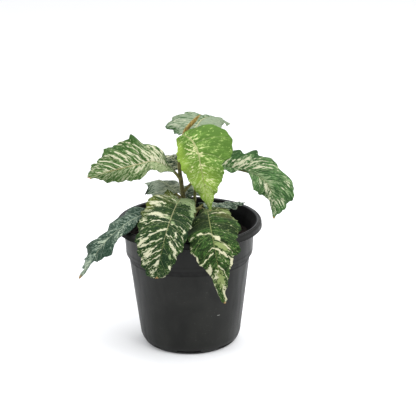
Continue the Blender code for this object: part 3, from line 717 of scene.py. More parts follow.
        "curl": -16, "seed": 21.8, "dark": (18, 40, 22), "green": (42, 66, 24), "warm": (80, 88, 28),
        "frostySheen": (126, 144, 102), "creamy": (188, 187, 160), "veinTone": (196, 198, 156),
        "cream": (0, 0.02), "frost": (0.1, 0.1), "ribWide": 0.6,
        "dabs": {
            "cream": [
                (10, 70, 12, 40, 0.4), (24, 72, 4, 25, 0.5), (36, 48, 3, 22, 0.7), (39, 30, 2, 20, 0.5),
                (40, 90, 8, 18, 0.3), (60, 80, 3, 20, 0.5), (72, 62, 4, 22, 0.48), (78, 80, 3, 15, 0.6),
                (86, 16, 4, 12, 0.9), (90, 55, 3, 18, 0.8), (96, 90, 3, 30, 0.5), (55, 85, 2, 6, 0.5),
                (14, -85, 10, 20, 0.3), (35, -85, 2, 14, 0.7), (39, -95, 2, 6, 0.7),
                (55, -50, 3, 9, 0.8), (48, -82, 2, 10, 0.8), (65, -50, 1.8, 22, 1),
                (67, -80, 2, 16, 0.8), (80, -88, 2, 10, 0.8), (80, -50, 1, 5, 0.6),
                (92, -100, 5, 10, 0.6),
            ],
            "frost": [
                (39, 12, 3, 20, 0.7), (76, 75, 5, 20, 0.4), (5, -40, 8, 60, 0.9), (12, 55, 16, 50, 0.3),
                (20, -90, 10, 22, 0.9), (44.5, -18, 2, 15, 0.8), (73, -60, 3, 12, 0.8),
                (93, -40, 5, 50, 0.3),
            ],
            "dark": [
                (11, 45, 1.5, 30, 0.5), (7, 80, 1.2, 15, 0.6), (17, 75, 1.5, 20, 0.6),
                (21, -35, 5, 35, 0.8), (38, -50, 6, 40, 0.7), (79, -35, 8, 30, 0.9),
            ],
            "warm": [(8, 60, 12, 60, 0.8), (26, 95, 15, 25, 0.7)],
        },
        "streaks": [
            (8, 7, 10, 90, 1.2, 0.35), (14, 13, 30, 100, 1.1, 0.4), (18, 17, 0, 50, 0.9, -0.5),
            (20, 23, 45, 90, 0.9, 0.65), (29, 29, 0, 80, 1.3, -0.6), (32, 36, 70, 100, 0.8, 0.6),
            (45, 43, 0, 55, 0.7, 0.75), (43, 49, 55, 95, 0.7, 0.65), (37, 40, 60, 95, 0.6, 0.6),
            (55, 57, 0, 60, 1.1, 0.9), (57, 61, 45, 100, 1.2, 0.6), (64.5, 63, 0, 50, 0.8, 0.9),
            (63, 63, 45, 90, 0.8, 0.75), (75, 73, 5, 60, 0.6, 0.75), (80, 79, 5, 65, 0.7, 0.8),
            (69, 70, 30, 80, 0.8, 0.65), (85, 85, 5, 80, 0.7, 0.65), (92, 90, 10, 70, 0.6, 0.6),
            (51, 51, 0, 90, 1.6, -0.4), (67, 66, 0, 80, 0.8, -0.5), (30, 31, 0, -70, 0.7, 0.6),
            (47, 47, -8, -65, 0.8, 0.75), (61, 59, -3, -40, 0.7, 0.8), (60, 61, -60, -80, 0.6, 0.75),
            (64, 60, -30, -45, 0.6, 0.75), (35, 41, -50, -65, 0.5, 0.5), (52, 54, -75, -90, 0.6, 0.6),
            (70, 76, -80, -85, 0.6, 0.5), (72, 74, -10, -40, 1.3, -0.3), (36, 36, 35, 65, 1.9, 0.35),
            (64.5, 65.5, -35, -75, 1.4, 0.4), (86, 86, 5, 25, 2.6, 0.4), (53, 57, -45, -55, 1, 0.75),
            (72, 72, 45, 80, 1.9, 0.3), (90, 90, 45, 65, 1.5, 0.35), (24, 23, 55, 85, 1.4, 0.25),
            (5, 4, 30, 80, 0.8, -0.5), (12, 11, 30, 90, 0.8, -0.5),
        ],
    },
    "leaf_front_right": {
        "stem": "stem_side", "node": 139, "grid": (210, 76),
        "rib": [
            (18.8, -14, 146.3), (21.1, -48, 144.2), (23.9, -78, 139), (26.6, -92, 128.5),
            (29.7, -98, 109.9), (35.3, -98, 77.2),
        ],
        "facing": [(0, -0.1, 1), (0.05, -0.3, 1), (0.1, -0.75, 0.6), (0.1, -1, 0.15)],
        "left": [15, 24, 28.5, 30, 26.5, 28, 20, 15, 10.5, 3.5, 1],
        "right": [6, 13, 19.5, 24.5, 26, 25.5, 21, 13, 10, 7, 1],
        "liftLeft": [14, 14, 0], "liftRight": [6, 0, 0],
        "lobes": [
            ("left", 44, -2, 2.5), ("left", 54, 1.5, 3), ("left", 95.5, 2.5, 2.2),
            ("right", 95.5, 1.5, 2.2),
        ],
        "seed": 25.6, "dark": (20, 36, 14), "green": (52, 86, 36), "warm": (58, 60, 20),
        "frostySheen": (126, 140, 88), "creamy": (190, 188, 158), "veinTone": (156, 168, 112),
        "cream": (0.02, 0), "frost": (0.1, 0.08), "fray": 2, "ribWide": 0.5,
        "dabs": {
            "cream": [
                (36, -62, 1.2, 5, 0.8), (38, -72, 1.2, 5, 0.7), (30, -70, 1.5, 5, 0.9),
                (39, 83, 1.2, 10, 0.9), (44, 93, 2.5, 5, 0.7), (48, -12, 3.5, 16, 0.6),
                (62, -100, 5, 10, 0.9), (61, -24, 1.2, 6, 0.7), (64, -58, 1.5, 5, 0.6),
                (69, 85, 3, 25, 0.95), (66, 62, 2, 12, 0.7), (76, 55, 2.5, 30, 0.8),
                (58, 100, 5, 7, 0.8), (51, 100, 3, 5, 0.7), (92, -60, 7, 50, 1), (86, -70, 3, 40, 0.7),
                (85, 100, 12, 15, 0.6),
            ],
            "frost": [
                (5, 30, 6, 60, 0.5), (10, -75, 3, 30, 0.45), (12, -50, 12, 80, 0.32),
                (20, -95, 4, 12, 0.5), (54, -30, 2.2, 30, 1), (83, -25, 7, 40, 1.1),
                (78, 30, 8, 50, 0.5),
            ],
            "dark": [(20, 50, 14, 90, 1.7), (31, -65, 8, 50, 1.1)],
            "warm": [(17, -50, 15, 80, 1.2), (54, -30, 3, 35, 0.2)],
        },
        "streaks": [
            (6, 5, 0, -70, 1.8, 0.6), (12, 11, 0, -75, 1.9, 0.95), (17, 17, 0, -45, 1.6, 0.9),
            (23, 21, -5, -55, 1.3, 0.8), (14.5, 14, -10, -80, 1.2, -0.8), (20, 19, -20, -80, 1.2, -0.8),
            (9, 8, -20, -90, 1.2, -0.8), (28, 34, -6, -42, 1.1, 1.1), (33, 41, -30, -50, 0.7, 1.05),
            (34, 36, -6, -20, 0.6, 0.85), (44, 38.5, 0, 62, 1.8, 0.95), (57.5, 56, 2, 35, 0.8, 1.05),
            (60, 60.5, 15, 95, 0.9, 1.05), (50, 56, -25, -85, 0.8, 0.75), (58, 60, -4, -90, 1.3, 1.05),
            (71, 72, -4, -55, 0.9, 1.05), (73.5, 78, -50, -95, 0.9, 1.05), (75, 72, 0, 35, 0.8, 0.95),
            (79, 76, 10, 60, 0.7, 0.75), (42, 44, -10, -80, 1.1, -0.3), (47.5, 49, -2, -28, 1.8, 0.6),
            (68, 70, 60, 100, 2.2, 0.9), (62, 62, -88, -100, 4.1, 0.9), (92, 92, -30, -100, 3.7, 0.85),
            (86, 86, -40, -100, 1.8, 0.45), (55, 55, 94, 100, 2.8, 0.85),
        ],
    },
    "leaf_low_right": {
        "stem": "stem_side", "node": 135, "grid": (110, 40),
        "rib": [(15, 14, 142.5), (29, 22, 139), (44.5, 30, 137.5), (58.2, 35, 136.3)],
        "facing": [(0, 0, 1), (0, -0.05, 1), (0.1, 0, 1)],
        "left": [8, 14, 17, 16, 13, 10, 5, 1], "right": [6, 11, 13, 13, 11, 9, 5, 1],
        "waves": 4, "veins": 7, "seed": 29.5, "dark": (42, 62, 48), "green": (76, 96, 78),
        "frostySheen": (132, 150, 134), "creamy": (184, 192, 168), "veinTone": (172, 184, 160),
        "cream": (0.3, 0.3), "frost": (0.5, 0.5),
    },
    "leaf_mid_back": {
        "node": 172, "grid": (110, 40),
        "rib": [(-9.4, 11, 181.4), (-12.8, 28, 183.9), (-18.3, 50, 183.8), (-21, 72, 177.1)],
        "facing": [(0, -0.1, 1), (0, 0, 1), (0, 0.2, 1)],
        "left": [7, 13, 16, 15, 13, 9, 5, 1], "right": [8, 16, 20, 19, 16, 11, 6, 1],
        "liftLeft": [10], "liftRight": [10],
        "waves": 4, "veins": 8, "seed": 33.2, "dark": (34, 54, 32), "green": (58, 82, 52),
        "frostySheen": (122, 140, 108), "creamy": (214, 214, 182), "veinTone": (170, 182, 136),
        "cream": (0.4, 0.4), "frost": (0.3, 0.3),
    },
    "leaf_low_back": {
        "stem": "stem_side", "node": 149, "grid": (110, 40),
        "rib": [(6.5, 17, 151), (5, 36, 151), (3.5, 60, 148), (2, 85, 140)],
        "facing": [(0, -0.1, 1), (0, 0, 1), (0, 0.2, 1)],
        "left": [8, 14, 16, 16, 14, 10, 6, 1], "right": [8, 15, 18, 18, 15, 11, 7, 1],
        "waves": 4, "veins": 8, "seed": 37.9, "dark": (50, 70, 50), "green": (74, 96, 72),
        "frostySheen": (116, 134, 112), "creamy": (184, 192, 158), "veinTone": (160, 174, 138),
        "cream": (0.25, 0.25), "frost": (0.4, 0.4),
    },
}

leaves = {node: leafForm | leaf for node, leaf in leaves.items()}


class Midrib:
    def __init__(self, leaf):
        self.facing = np.array(leaf["facing"], float)
        self.samples = smoothCurve(leaf["rib"], np.linspace(0, 1, leaf["ribSamples"]))
        steps = np.linalg.norm(np.diff(self.samples, axis=0), axis=1)
        self.along = np.concatenate([[0], np.cumsum(steps)])
        self.length = self.along[-1]
        self.reach = self.length * leaf["directionReach"]

    def placeAt(self, distance):
        return np.stack([np.interp(distance, self.along, self.samples[:, k]) for k in range(3)], 1)

    def framesAt(self, distance):
        inside = np.clip(distance, 0, self.length)
        tangent = unit(self.placeAt(inside + self.reach) - self.placeAt(inside - self.reach))
        normal = smoothCurve(self.facing, inside / self.length)
        normal = unit(normal - tangent * (normal * tangent).sum(1, keepdims=True))
        place = self.placeAt(inside) + tangent * (distance - inside)[:, None]
        return place, normal, np.cross(tangent, normal)


def sway(turns):
    return np.sin(math.tau * turns)


def veinGap(leaf, s, side):
    # 0 on a side vein, 0.5 half way between two
    phase = leaf["veins"] * (s - leaf["arc"] * side**2) + leaf["veinShift"] * (side > 0)
    return np.abs(phase - np.floor(phase) - 0.5)


def edgeWidths(leaf, s, side):
    # the half width at each place, with its lobes, and scallops that grow towards the edge
    onRight, reach = side > 0, np.abs(side)
    width = np.where(onRight, smoothCurve(leaf["right"], s)[:, 0], smoothCurve(leaf["left"], s)[:, 0])
    for half, s0, bump, reachS in leaf["lobes"]:
        lobe = bump * np.exp(-(((s - s0 / 100) / (reachS / 100)) ** 2))
        width = width + lobe * (onRight == (half == "right"))
    height, count, shift = leaf["smallScallops"]
    swell = sway(leaf["veins"] * s + leaf["seed"] + leaf["veinShift"] * onRight)
    small = sway(count * leaf["veins"] * s + shift * leaf["seed"])
    return width * (1 + leaf["scallop"] * (swell + height * small) * reach**3)


def reliefOf(leaf, midrib, s, side, width):
    # waves of the edge, pillows between the side veins, and grooves along them
    onRight, reach = side > 0, np.abs(side)
    phase = np.where(onRight, leaf["phases"][1], leaf["phases"][0])
    height, count = leaf["ripple"]
    wave = leaf["wave"] * reach**1.5 * sway(leaf["waves"] * s + phase)
    ripple = height * reach**2 * sway(count * leaf["waves"] * s + leaf["seed"] + phase)
    gap = veinGap(leaf, s, side)
    groove = np.exp(-((gap * midrib.length / leaf["veins"] / leaf["grooveReach"]) ** 2)) * (1 - reach**2)
    middle = np.exp(-((width * reach / leaf["ribGrooveReach"]) ** 2))
    quilt = leaf["quilt"] * np.sin(math.pi * gap) * (1 - reach**4) * np.minimum(width * reach / 3, 1)
    full = np.minimum(width / leaf["fullWaveWidth"], 1)
    return (wave + ripple + quilt - leaf["groove"] * np.maximum(groove, middle)) * full


def bladePlaces(leaf, midrib, s, side):
    # the place in millimetres of each (s, side): s from 0 at the foot to 1 at the tip, side from -1 to 1
    onRight, reach = side > 0, np.abs(side)
    width = edgeWidths(leaf, s, side)
    base, gain, power = leaf["veinAngle"]
    vein = np.radians(base + gain * (1 - s) ** power)
    lifts = [smoothCurve(leaf[key], s)[:, 0] for key in ("liftRight", "liftLeft")]
    tilt = np.radians(np.where(onRight, *lifts) + leaf["curl"] * reach)
    across = width * reach * np.sin(vein)
    raised = across * np.sin(tilt) + reliefOf(leaf, midrib, s, side, width)
    place, normal, right = midrib.framesAt(s * midrib.length + width * reach * np.cos(vein))
    return place + right * (np.sign(side) * across * np.cos(tilt))[:, None] + normal * raised[:, None]


# What a dab of each kind adds to cream, to frost and painted sheen, and to depth, where depth above 0 is
# darker and below 0 warmer

dabEffects = {"cream": (1, 0, 0), "frost": (0, 1, 0), "dark": (-0.5, -0.3, 1), "warm": (0, 0, -1)}


def paintOf(leaf, s, side, length):
    paint = np.zeros((len(s), 3))
    for column, (left, right) in enumerate((leaf["cream"], leaf["frost"])):
        paint[:, column] = np.where(side > 0, right, left)
    for kind, dabs in leaf["dabs"].items():
        for *places, amount in dabs:
            s0, side0, reachS, reachSide = (v / 100 for v in places)
            dab = amount * np.exp(-(((s - s0) / reachS) ** 2) - ((side - side0) / reachSide) ** 2)
            paint += dab[:, None] * dabEffects[kind]
    paint[:, 0] = np.minimum(paint[:, 0], leaf["dabLimit"])
    waver, count, shift = leaf["streakWaver"]
    for *places, wide, amount in leaf["streaks"]:
        s0, s1, start, end = (v / 100 for v in places)
        part = np.clip((side - start) / (end - start), 0, 1)
        line = s0 + (s1 - s0) * part + waver * np.sin(count * side + shift * s0)
        away = np.abs(s - line) * length / (wide * (1 - leaf["streakTaper"] * part**4))
        outside = np.maximum(min(start, end) - side, side - max(start, end))
        inside = np.clip(1 - outside / leaf["streakFade"], 0, 1)
        paint[:, 0] += amount * np.exp(-(away**2)) * inside
    paint[:, 0] = np.minimum(paint[:, 0], leaf["creamLimit"])
    return paint


def stemLine(stem):
    # points along the middle of the stem, and the radius at each
    steps = stemForm["steps"] + 1
    return smoothCurve(stem["axis"], np.linspace(0, 1, steps)), np.linspace(*stem["radii"], steps)


def makeStalk(leaf, midrib):
    # the leaf stalk, which goes on under the blade as the raised midrib
    points, stemRadii = stemLine(stems[leaf["stem"]])
    at = min(np.searchsorted(points[:, 2], leaf["node"]), stemForm["steps"])
    axis, radius = points[at], stemRadii[at]
    blade = midrib.samples[0]
    reach = (blade - axis) * (1, 1, 0)
    away = reach / np.linalg.norm(reach)
    start = axis + away * radius * leaf["stalkInset"]
    middle = (axis + away * radius + blade) / 2 + (0, 0, leaf["stalkRise"])
    places, normals, _ = midrib.framesAt(np.linspace(0, leaf["ribReach"] * midrib.length, leaf["ribSteps"]))
    thin = np.linspace(leaf["stalkRadius"], leaf["ribEndRadius"], leaf["ribSteps"])
    under = places - normals * (thin - leaf["ribSink"])[:, None]
    foot = under[0]
    bends = [start, (start + middle) / 2, middle, (middle + foot) / 2, foot]
    first = smoothCurve(bends, np.linspace(0, 1, leaf["stalkSteps"] + 1))[:-1]
    fall = np.exp(-((np.arange(leaf["stalkSteps"]) / leaf["swellReach"]) ** 2))
    swell = leaf["stalkRadius"] * (1 + leaf["stalkSwell"] * fall)
    stalk = tube(np.vstack([first, under]) * mm, np.concatenate([swell, thin]) * mm)
    dress(stalk, stalkBark)
    return stalk


def makeLeaf(node, leaf):
    stations, strips = leaf["grid"]
    blade = added(bpy.ops.mesh.primitive_grid_add, x_subdivisions=stations, y_subdivisions=strips, size=2)
    flat = placesOf(blade.data)
    s = (flat[:, 0] + 1) / 2
    side = -np.sign(flat[:, 1]) * np.abs(flat[:, 1]) ** leaf["edgeCrowding"]
    midrib = Midrib(leaf)
    setPlaces(blade.data, bladePlaces(leaf, midrib, s, side) * mm)

    corners = np.empty(len(blade.data.loops), int)
    blade.data.loops.foreach_get("vertex_index", corners)
    uv = np.stack([s, (side + 1) / 2], 1)[corners]
    blade.data.uv_layers.active.data.foreach_set("uv", uv.ravel())
    brush = blade.data.attributes.new("paint", "FLOAT_VECTOR", "POINT")
    brush.data.foreach_set("vector", paintOf(leaf, s, side, midrib.length).ravel())
    bpy.ops.object.shade_smooth()

    sheet = blade.modifiers.new("thickness", "SOLIDIFY")
    sheet.thickness = leaf["thickness"] * mm
    sheet.offset = 0
    sheet.material_offset = 1
    measures = (midrib.length, (np.mean(leaf["left"]) + np.mean(leaf["right"])) / 2)
    upper = leafMaterial(node + "_upper", leaf, *measures, False)
    below = leafMaterial(node + "_under", leaf, *measures, True)
    dress(blade, upper, below, stalkBark)
    applyModifiers(blade)

    joinInto(blade, [makeStalk(leaf, midrib)])
    first, *others = node.split("_")
    name = first + "".join(word.capitalize() for word in others)
    settle(blade, name, "leaf_lime" if node == "leaf_new" else "leaf_marbled", node)


# Stems

stemForm = {
    "steps": 120, "bulge": 0.16, "bulgeReach": 1.6, "bulgeDrop": 1.0,  # a bulge just below each leaf
    "lumps": 0.05, "lumpScale": 700, "lumpStretch": 0.4,
}

stems = {
    "stem_main": {
        "name": "mainStem", "radii": (2.8, 1.7), "dark": (62, 60, 26), "light": (112, 108, 58),
        "axis": [
            (-2, 0, 82.3), (-2.2, 0, 112), (-3.5, 0, 135), (-5.5, 0, 157), (-8.5, 0, 183), (-8, 0.5, 203),
            (-4, 1, 221),
        ],
    },
    "stem_side": {
        "name": "sideStem", "radii": (1.9, 1.4), "dark": (78, 80, 36), "light": (118, 120, 62),
        "axis": [(6, 6, 82.3), (5.8, 6, 112), (5.2, 5.5, 135), (6.2, 5.5, 152), (7.2, 6, 166)],
    },
}


def makeStem(node, stem):
    points, radii = stemLine(stem)
    for leaf in leaves.values():
        if leaf["stem"] == node:
            away = (points[:, 2] - leaf["node"] + stemForm["bulgeDrop"]) / stemForm["bulgeReach"]
            radii = radii * (1 + stemForm["bulge"] * np.exp(-(away**2)))
    body = tube(points * mm, radii * mm, 6)
    places = placesOf(body.data)
    axis = np.stack([np.interp(places[:, 2], points[:, 2] * mm, points[:, k] * mm) for k in range(2)], 1)
    lumps = lumpsAt(places * (1, 1, stemForm["lumpStretch"]), stemForm["lumpScale"])
    places[:, :2] = axis + (places[:, :2] - axis) * (1 + stemForm["lumps"] * lumps)[:, None]
    setPlaces(body.data, places)
    dress(body, barkMaterial(node + "_skin", stem["dark"], stem["light"]))
    settle(body, stem["name"], "stem_skin", node)


for node, stem in stems.items():
    makeStem(node, stem)
for node, leaf in leaves.items():
    makeLeaf(node, leaf)


# Bud sheath

bud = {
    "points": [
        (-4, 1, 221), (-3.2, 1.3, 223), (-1, 2, 226.5), (3, 3, 230.7), (7, 4, 234.5), (10.5, 5, 238),
        (13.5, 6, 240.5),
    ],
    "radii": (1.5, 1.7, 1.9, 2.1, 1.9, 1.3, 0.3), "leastRadius": 0.15, "steps": 60,
    "ridges": 7, "ridgeHeight": 0.06, "ridgeTwist": 0.09,
    "dark": (92, 74, 24), "light": (152, 130, 62), "rough": 0.5,
}


def makeBud():
    even = np.linspace(0, 1, bud["steps"] + 1)
    points = smoothCurve(bud["points"], even)
    radii = np.maximum(smoothCurve(bud["radii"], even)[:, 0], bud["leastRadius"])
    body = tube(points * mm, radii * mm, 8)
    places = placesOf(body.data)
    heights = places[:, 2] / mm
    axis = np.stack([np.interp(heights, points[:, 2], points[:, k]) for k in range(3)], 1) * mm
    outward = places - axis
    angle = np.arctan2(outward[:, 1], outward[:, 0]) + heights * bud["ridgeTwist"]
    ridge = 1 + bud["ridgeHeight"] * np.sin(bud["ridges"] * angle)
    setPlaces(body.data, axis + outward * ridge[:, None])
    dress(body, barkMaterial("budSkin", bud["dark"], bud["light"], bud["rough"]))
    settle(body, "budSheath", "bud_sheath", "bud_sheath")


makeBud()


# Pot, in millimetres and degrees

pot = {
    "sides": 168, "smoothAngle": 40,
    "profile": [  # radius and height from the middle of the outer bottom, round the rim, to the floor
        (20, 0), (40, 0), (45.4, 0), (46.6, 0.3), (47.6, 1), (49.2, 3), (50.2, 4.6), (51, 6.4),
        (52.2, 9.8), (54.4, 27), (57.3, 50), (60.2, 74), (61.9, 88), (62.3, 91.3), (62.5, 92.2),
        (63, 93.1), (64.9, 96), (65.4, 96.9), (65.6, 98), (66.1, 108), (66.8, 118), (67.2, 122.5),
        (68, 125.6), (69.8, 127.2), (72.9, 127.7), (73.3, 127.2), (73.4, 124.6), (73.8, 124.1),
        (74.9, 124.1), (75.3, 124.4), (75.3, 124.9), (75, 125.3), (75, 128.2), (74.7, 129.4),
        (73.9, 130.4), (73.3, 130.7), (72.7, 130.4), (72.2, 130.3), (71.6, 130.9), (70.8, 131),
        (69.9, 130.5), (69.2, 129.4), (68.2, 127), (66, 124), (65, 121), (64.3, 108), (63.8, 97.2),
        (60.6, 92), (57, 62), (53.6, 36), (50.4, 9.8), (44.6, 2.4), (30, 2.2), (12, 2.2),
    ],
    "slots": 7, "slotTurn": -2.3, "slotAngle": 29, "slotAngleRadius": 48.4,
    "slotRadius": 50.2, "slotDepth": 12, "slotBottom": 2.6, "slotTop": 4.2,
    "smudgeScale": 24, "wipeScale": 160, "wipeDraw": 0.12, "speckScale": 620, "grainScale": 1900,
    # the pot's own tones and dust, then the colour of painted shade
    "dark": (18, 19, 17), "light": (31, 32, 29), "dust": (84, 84, 80), "shade": (4, 4, 4),
    # a painted highlight on the rim's crest, then the scratch's own colour
    "worn": (74, 76, 78), "scuffTone": (128, 128, 124),
    # where painted shade and a painted highlight go: inside the wall's middle, under the shoulder, on the
    # rim's crest and in its groove
    "wallMiddle": 65.7, "rimMiddle": (0.5, 5.2),  # the wall's middle radius, the rim's as (slope, start)
    "insideFrom": (100, 101), "shoulder": (90, 91.5, 96.5, 98.5),
    "crest": (69.2, 69.8, 71, 71.6), "crestHeight": (130, 130.6),
    "rimGroove": (71.6, 71.9, 72.6, 73), "rimGrooveHeight": (130, 130.2),
    "scuff": (29.1, -48.3, 43.5), "scuffReach": (1.2, 2.2), "scuffFlatness": 4,
}


def potMaterial():
    material, tree, shader = newMaterial("blackPlastic", 0.40, 0.2)
    calc = partial(maths, tree)

    def metres(key):
        return [v * mm for v in pot[key]]

    place = placeOf(tree)
    broad = cloud(tree, place, pot["smudgeScale"], 4.0, 0.55, 0.6)
    wiped = cloud(tree, drawnOut(tree, place, pot["wipeDraw"]), pot["wipeScale"], 3.0, 0.6)
    specks = cloud(tree, place, pot["speckScale"], 2.0, 0.5)
    dusty = calc("MULTIPLY", ramp(tree, specks, 0.66, 0.74), ramp(tree, broad, 0.45, 0.7))
    radius = vectorMaths(tree, "LENGTH", vectorMaths(tree, "MULTIPLY", place, (1, 1, 0)))
    high = partsOf(tree, place)["Z"]

    # painted shade on the inside and in the corner under the shoulder, a painted highlight on the rim's
    # crest and painted shade in the rim's groove
    slope, start = pot["rimMiddle"]
    wall = calc("MAXIMUM", calc("MULTIPLY_ADD", high, slope, start * mm), pot["wallMiddle"] * mm)
    inside = ramp(tree, calc("SUBTRACT", radius, wall), -0.0002, 0.0002, 1.0, 0.0)
    corner = calc("MULTIPLY", band(tree, high, *metres("shoulder")), 0.6)
    shade = calc("MULTIPLY_ADD", inside, ramp(tree, high, *metres("insideFrom")), corner)
    crest = calc("MULTIPLY", band(tree, radius, *metres("crest")), ramp(tree, high, *metres("crestHeight")))
    grooveTop = ramp(tree, high, *metres("rimGrooveHeight"))
    groove = calc("MULTIPLY", band(tree, radius, *metres("rimGroove")), grooveTop)
    away = vectorMaths(tree, "SUBTRACT", place, metres("scuff"))
    away = vectorMaths(tree, "MULTIPLY", away, (1, 1, pot["scuffFlatness"]))
    away = vectorMaths(tree, "LENGTH", away)
    base = layered(
        tree, colour(*pot["dark"]),
        (ramp(tree, broad, 0.35, 0.7), colour(*pot["light"])),
        (calc("MULTIPLY", dusty, 0.5), colour(*pot["dust"])),
        # painted shade on the inside and in the corner under the shoulder
        (shade, colour(*pot["shade"])),
        # a painted highlight along the rim's crest
        (calc("MULTIPLY", crest, 0.7), colour(*pot["worn"])),
        # painted shade in the rim's groove
        (groove, colour(*pot["shade"])),
        (ramp(tree, away, *metres("scuffReach"), 1.0, 0.0), colour(*pot["scuffTone"])),
    )
    rough = calc("MULTIPLY_ADD", dusty, 0.2, ramp(tree, wiped, 0.3, 0.7, 0.36, 0.5))
    rough = calc("MULTIPLY_ADD", shade, 0.35, rough)
    grain = grouped(tree, fineGrain, {"Place": place, "Scale": pot["grainScale"]})["Grain"]
    feed(tree, shader, base, rough, calc("MULTIPLY_ADD", wiped, 0.5, grain), 0.0002, 0.25)
    return material


def slotCutter(turn):
    # a block that cuts one drainage slot through the foot of the wall
    cutter = added(bpy.ops.mesh.primitive_cube_add, size=1)
    angle = math.radians(pot["slotTurn"] - 90) + turn * math.tau / pot["slots"]
    wide = 2 * pot["slotAngleRadius"] * math.tan(math.radians(pot["slotAngle"] / 2))
    tall = pot["slotTop"] - pot["slotBottom"]
    radius = pot["slotRadius"]
    middle = Vector((radius * math.cos(angle), radius * math.sin(angle), pot["slotBottom"] + tall / 2)) * mm
    cutter.data.transform(Matrix.Diagonal((pot["slotDepth"] * mm, wide * mm, tall * mm, 1)))
    cutter.data.transform(Matrix.Translation(middle) @ Matrix.Rotation(angle, 4, "Z"))
    return cutter


def makePot():
    profile = pot["profile"]
    radius = profile[0][0] * mm
    shell = added(bpy.ops.mesh.primitive_circle_add, vertices=pot["sides"], radius=radius, fill_type="NGON")
    bpy.ops.object.mode_set(mode="EDIT")
    bpy.ops.mesh.select_all(action="SELECT")
    for start, end in zip(profile, profile[1:]):
        pullRing(start, end)
    bpy.ops.mesh.edge_face_add()
    bpy.ops.mesh.select_all(action="SELECT")
    bpy.ops.mesh.remove_doubles(threshold=0.000001)
    bpy.ops.mesh.normals_make_consistent(inside=False)
    bpy.ops.object.mode_set(mode="OBJECT")
    cutters = [slotCutter(turn) for turn in range(pot["slots"])]
    joinInto(cutters[0], cutters[1:])
    cut = shell.modifiers.new("slots", "BOOLEAN")
    cut.operation, cut.solver, cut.object = "DIFFERENCE", "EXACT", cutters[0]
    applyModifiers(shell)
    bpy.data.objects.remove(cutters[0])
    bpy.ops.object.shade_smooth_by_angle(angle=math.radians(pot["smoothAngle"]))
    dress(shell, potMaterial())
    settle(shell, "potShell", "pot_plastic", "pot")


makePot()


# Potting mix, in millimetres and degrees

soil = {
    "sides": 120, "rings": 34, "radius": 64, "height": 112, "smoothAngle": 50,
    "mound": 3, "rough": 1.3, "lumpScale": 0.19, "lumpOctaves": 4, "edgeFade": 4,
    "wall": [(63.4, 97.2), (60.1, 92), (50, 9.8), (44.2, 2.6)],  # radius and height, down inside the pot
    "clodScale": 330, "fibreScale": 1400, "dark": (14, 11, 9), "light": (44, 34, 27), "chip": (70, 54, 40),
}

crumb = {
    "count": 420, "sizes": (0.8, 2.6), "smallShare": 2.5, "seed": 7, "margin": 3,
    "width": (0.5, 0.9), "height": (0.3, 0.6), "tilt": 0.3, "lift": 0.15, "lumps": 0.25, "lumpScale": 1.7,
}


def soilMaterial(name, light):
    material, tree, shader = newMaterial(name, 0.95, 0.2)
    place = placeOf(tree)
    lumps = cloud(tree, place, soil["clodScale"], 5.0, 0.7, 0.3)
    fibres = cloud(tree, place, soil["fibreScale"], 3.0, 0.6, 1.2)
    base = layered(
        tree, colour(*soil["dark"]),
        (ramp(tree, lumps, 0.4, 0.75), colour(*light)),
        (ramp(tree, fibres, 0.62, 0.75, 0.0, 0.6), colour(*soil["chip"])),
    )
    rough = ramp(tree, fibres, 0.3, 0.7, 0.85, 1.0)
    feed(tree, shader, base, rough, maths(tree, "ADD", lumps, fibres), 0.0008, 0.8)
    return material


def soilTop(x, y):
    reach = math.hypot(x, y) / soil["radius"]
    lump = lumpAt(Vector((x * soil["lumpScale"], y * soil["lumpScale"], 2.0)), soil["lumpOctaves"])
    edge = min(soil["edgeFade"] * (1 - reach), 1)
    mound = soil["mound"] * math.cos(min(reach, 1) * math.pi / 2)
    return soil["height"] + mound + soil["rough"] * lump * edge


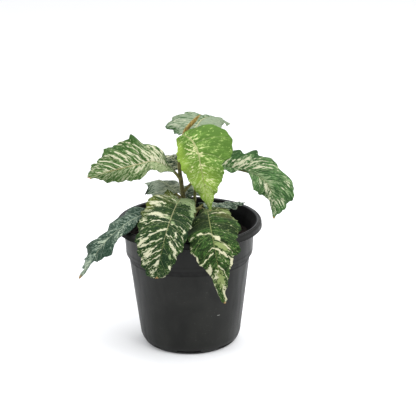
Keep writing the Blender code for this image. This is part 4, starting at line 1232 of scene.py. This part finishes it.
def makeSoil():
    rings, radius, top = soil["rings"], soil["radius"], soil["height"]
    bed = added(
        bpy.ops.mesh.primitive_circle_add,
        vertices=soil["sides"], radius=radius / rings * mm, fill_type="TRIFAN", location=(0, 0, top * mm),
    )
    bpy.ops.object.mode_set(mode="EDIT")
    bpy.ops.mesh.select_all(action="DESELECT")
    bpy.ops.mesh.select_non_manifold()
    for ring in range(1, rings):
        pullRing((ring, top), (ring + 1, top))
    rows = [(radius, top)] + soil["wall"]
    for start, end in zip(rows, rows[1:]):
        pullRing(start, end)
    bpy.ops.mesh.edge_face_add()
    bpy.ops.mesh.select_all(action="SELECT")
    bpy.ops.mesh.normals_make_consistent(inside=False)
    bpy.ops.object.mode_set(mode="OBJECT")
    places = placesOf(bed.data)
    for place in places:
        if place[2] > (top - 0.5) * mm:
            place[2] = soilTop(place[0] / mm, place[1] / mm) * mm
    setPlaces(bed.data, places)
    bpy.ops.object.shade_smooth_by_angle(angle=math.radians(soil["smoothAngle"]))
    dress(bed, soilMaterial("pottingMix", soil["light"]))
    settle(bed, "soilBed", "potting_mix", "soil")


def makeCrumbs():
    # lumps of bark and fibre half sunk in the mix: one small lump, copied, turned and stretched
    seedLump = added(bpy.ops.mesh.primitive_ico_sphere_add, subdivisions=1, radius=1)
    shape = placesOf(seedLump.data)
    shape = shape * (1 + crumb["lumps"] * lumpsAt(shape, crumb["lumpScale"])[:, None])
    faces = [list(face.vertices) for face in seedLump.data.polygons]
    bpy.data.objects.remove(seedLump)
    draws = np.random.default_rng(crumb["seed"])

    def between(limits, power=1):
        return limits[0] + (limits[1] - limits[0]) * draws.random() ** power

    allPlaces, allFaces = [], []
    for i in range(crumb["count"]):
        reach = (soil["radius"] - crumb["margin"]) * math.sqrt(draws.random())
        angle = draws.random() * math.tau
        size = between(crumb["sizes"], crumb["smallShare"])
        stretch = np.array([1, between(crumb["width"]), between(crumb["height"])]) * size
        turn = Matrix.Rotation(draws.random() * math.tau, 3, "Z")
        turn = np.array(turn @ Matrix.Rotation(draws.normal() * crumb["tilt"], 3, "X"))
        x, y = reach * math.cos(angle), reach * math.sin(angle)
        spot = np.array([x, y, soilTop(x, y) + crumb["lift"] * size])
        allFaces += [[v + len(shape) * i for v in face] for face in faces]
        allPlaces.append((shape * stretch) @ turn.T + spot)
    mesh = bpy.data.meshes.new("soilCrumbs")
    mesh.from_pydata((np.vstack(allPlaces) * mm).tolist(), [], allFaces)
    crumbs = bpy.data.objects.new("soilCrumbs", mesh)
    bpy.context.scene.collection.objects.link(crumbs)
    dress(crumbs, soilMaterial("barkCrumbs", soil["chip"]))
    settle(crumbs, "soilCrumbs", "potting_mix")


makeSoil()
makeCrumbs()
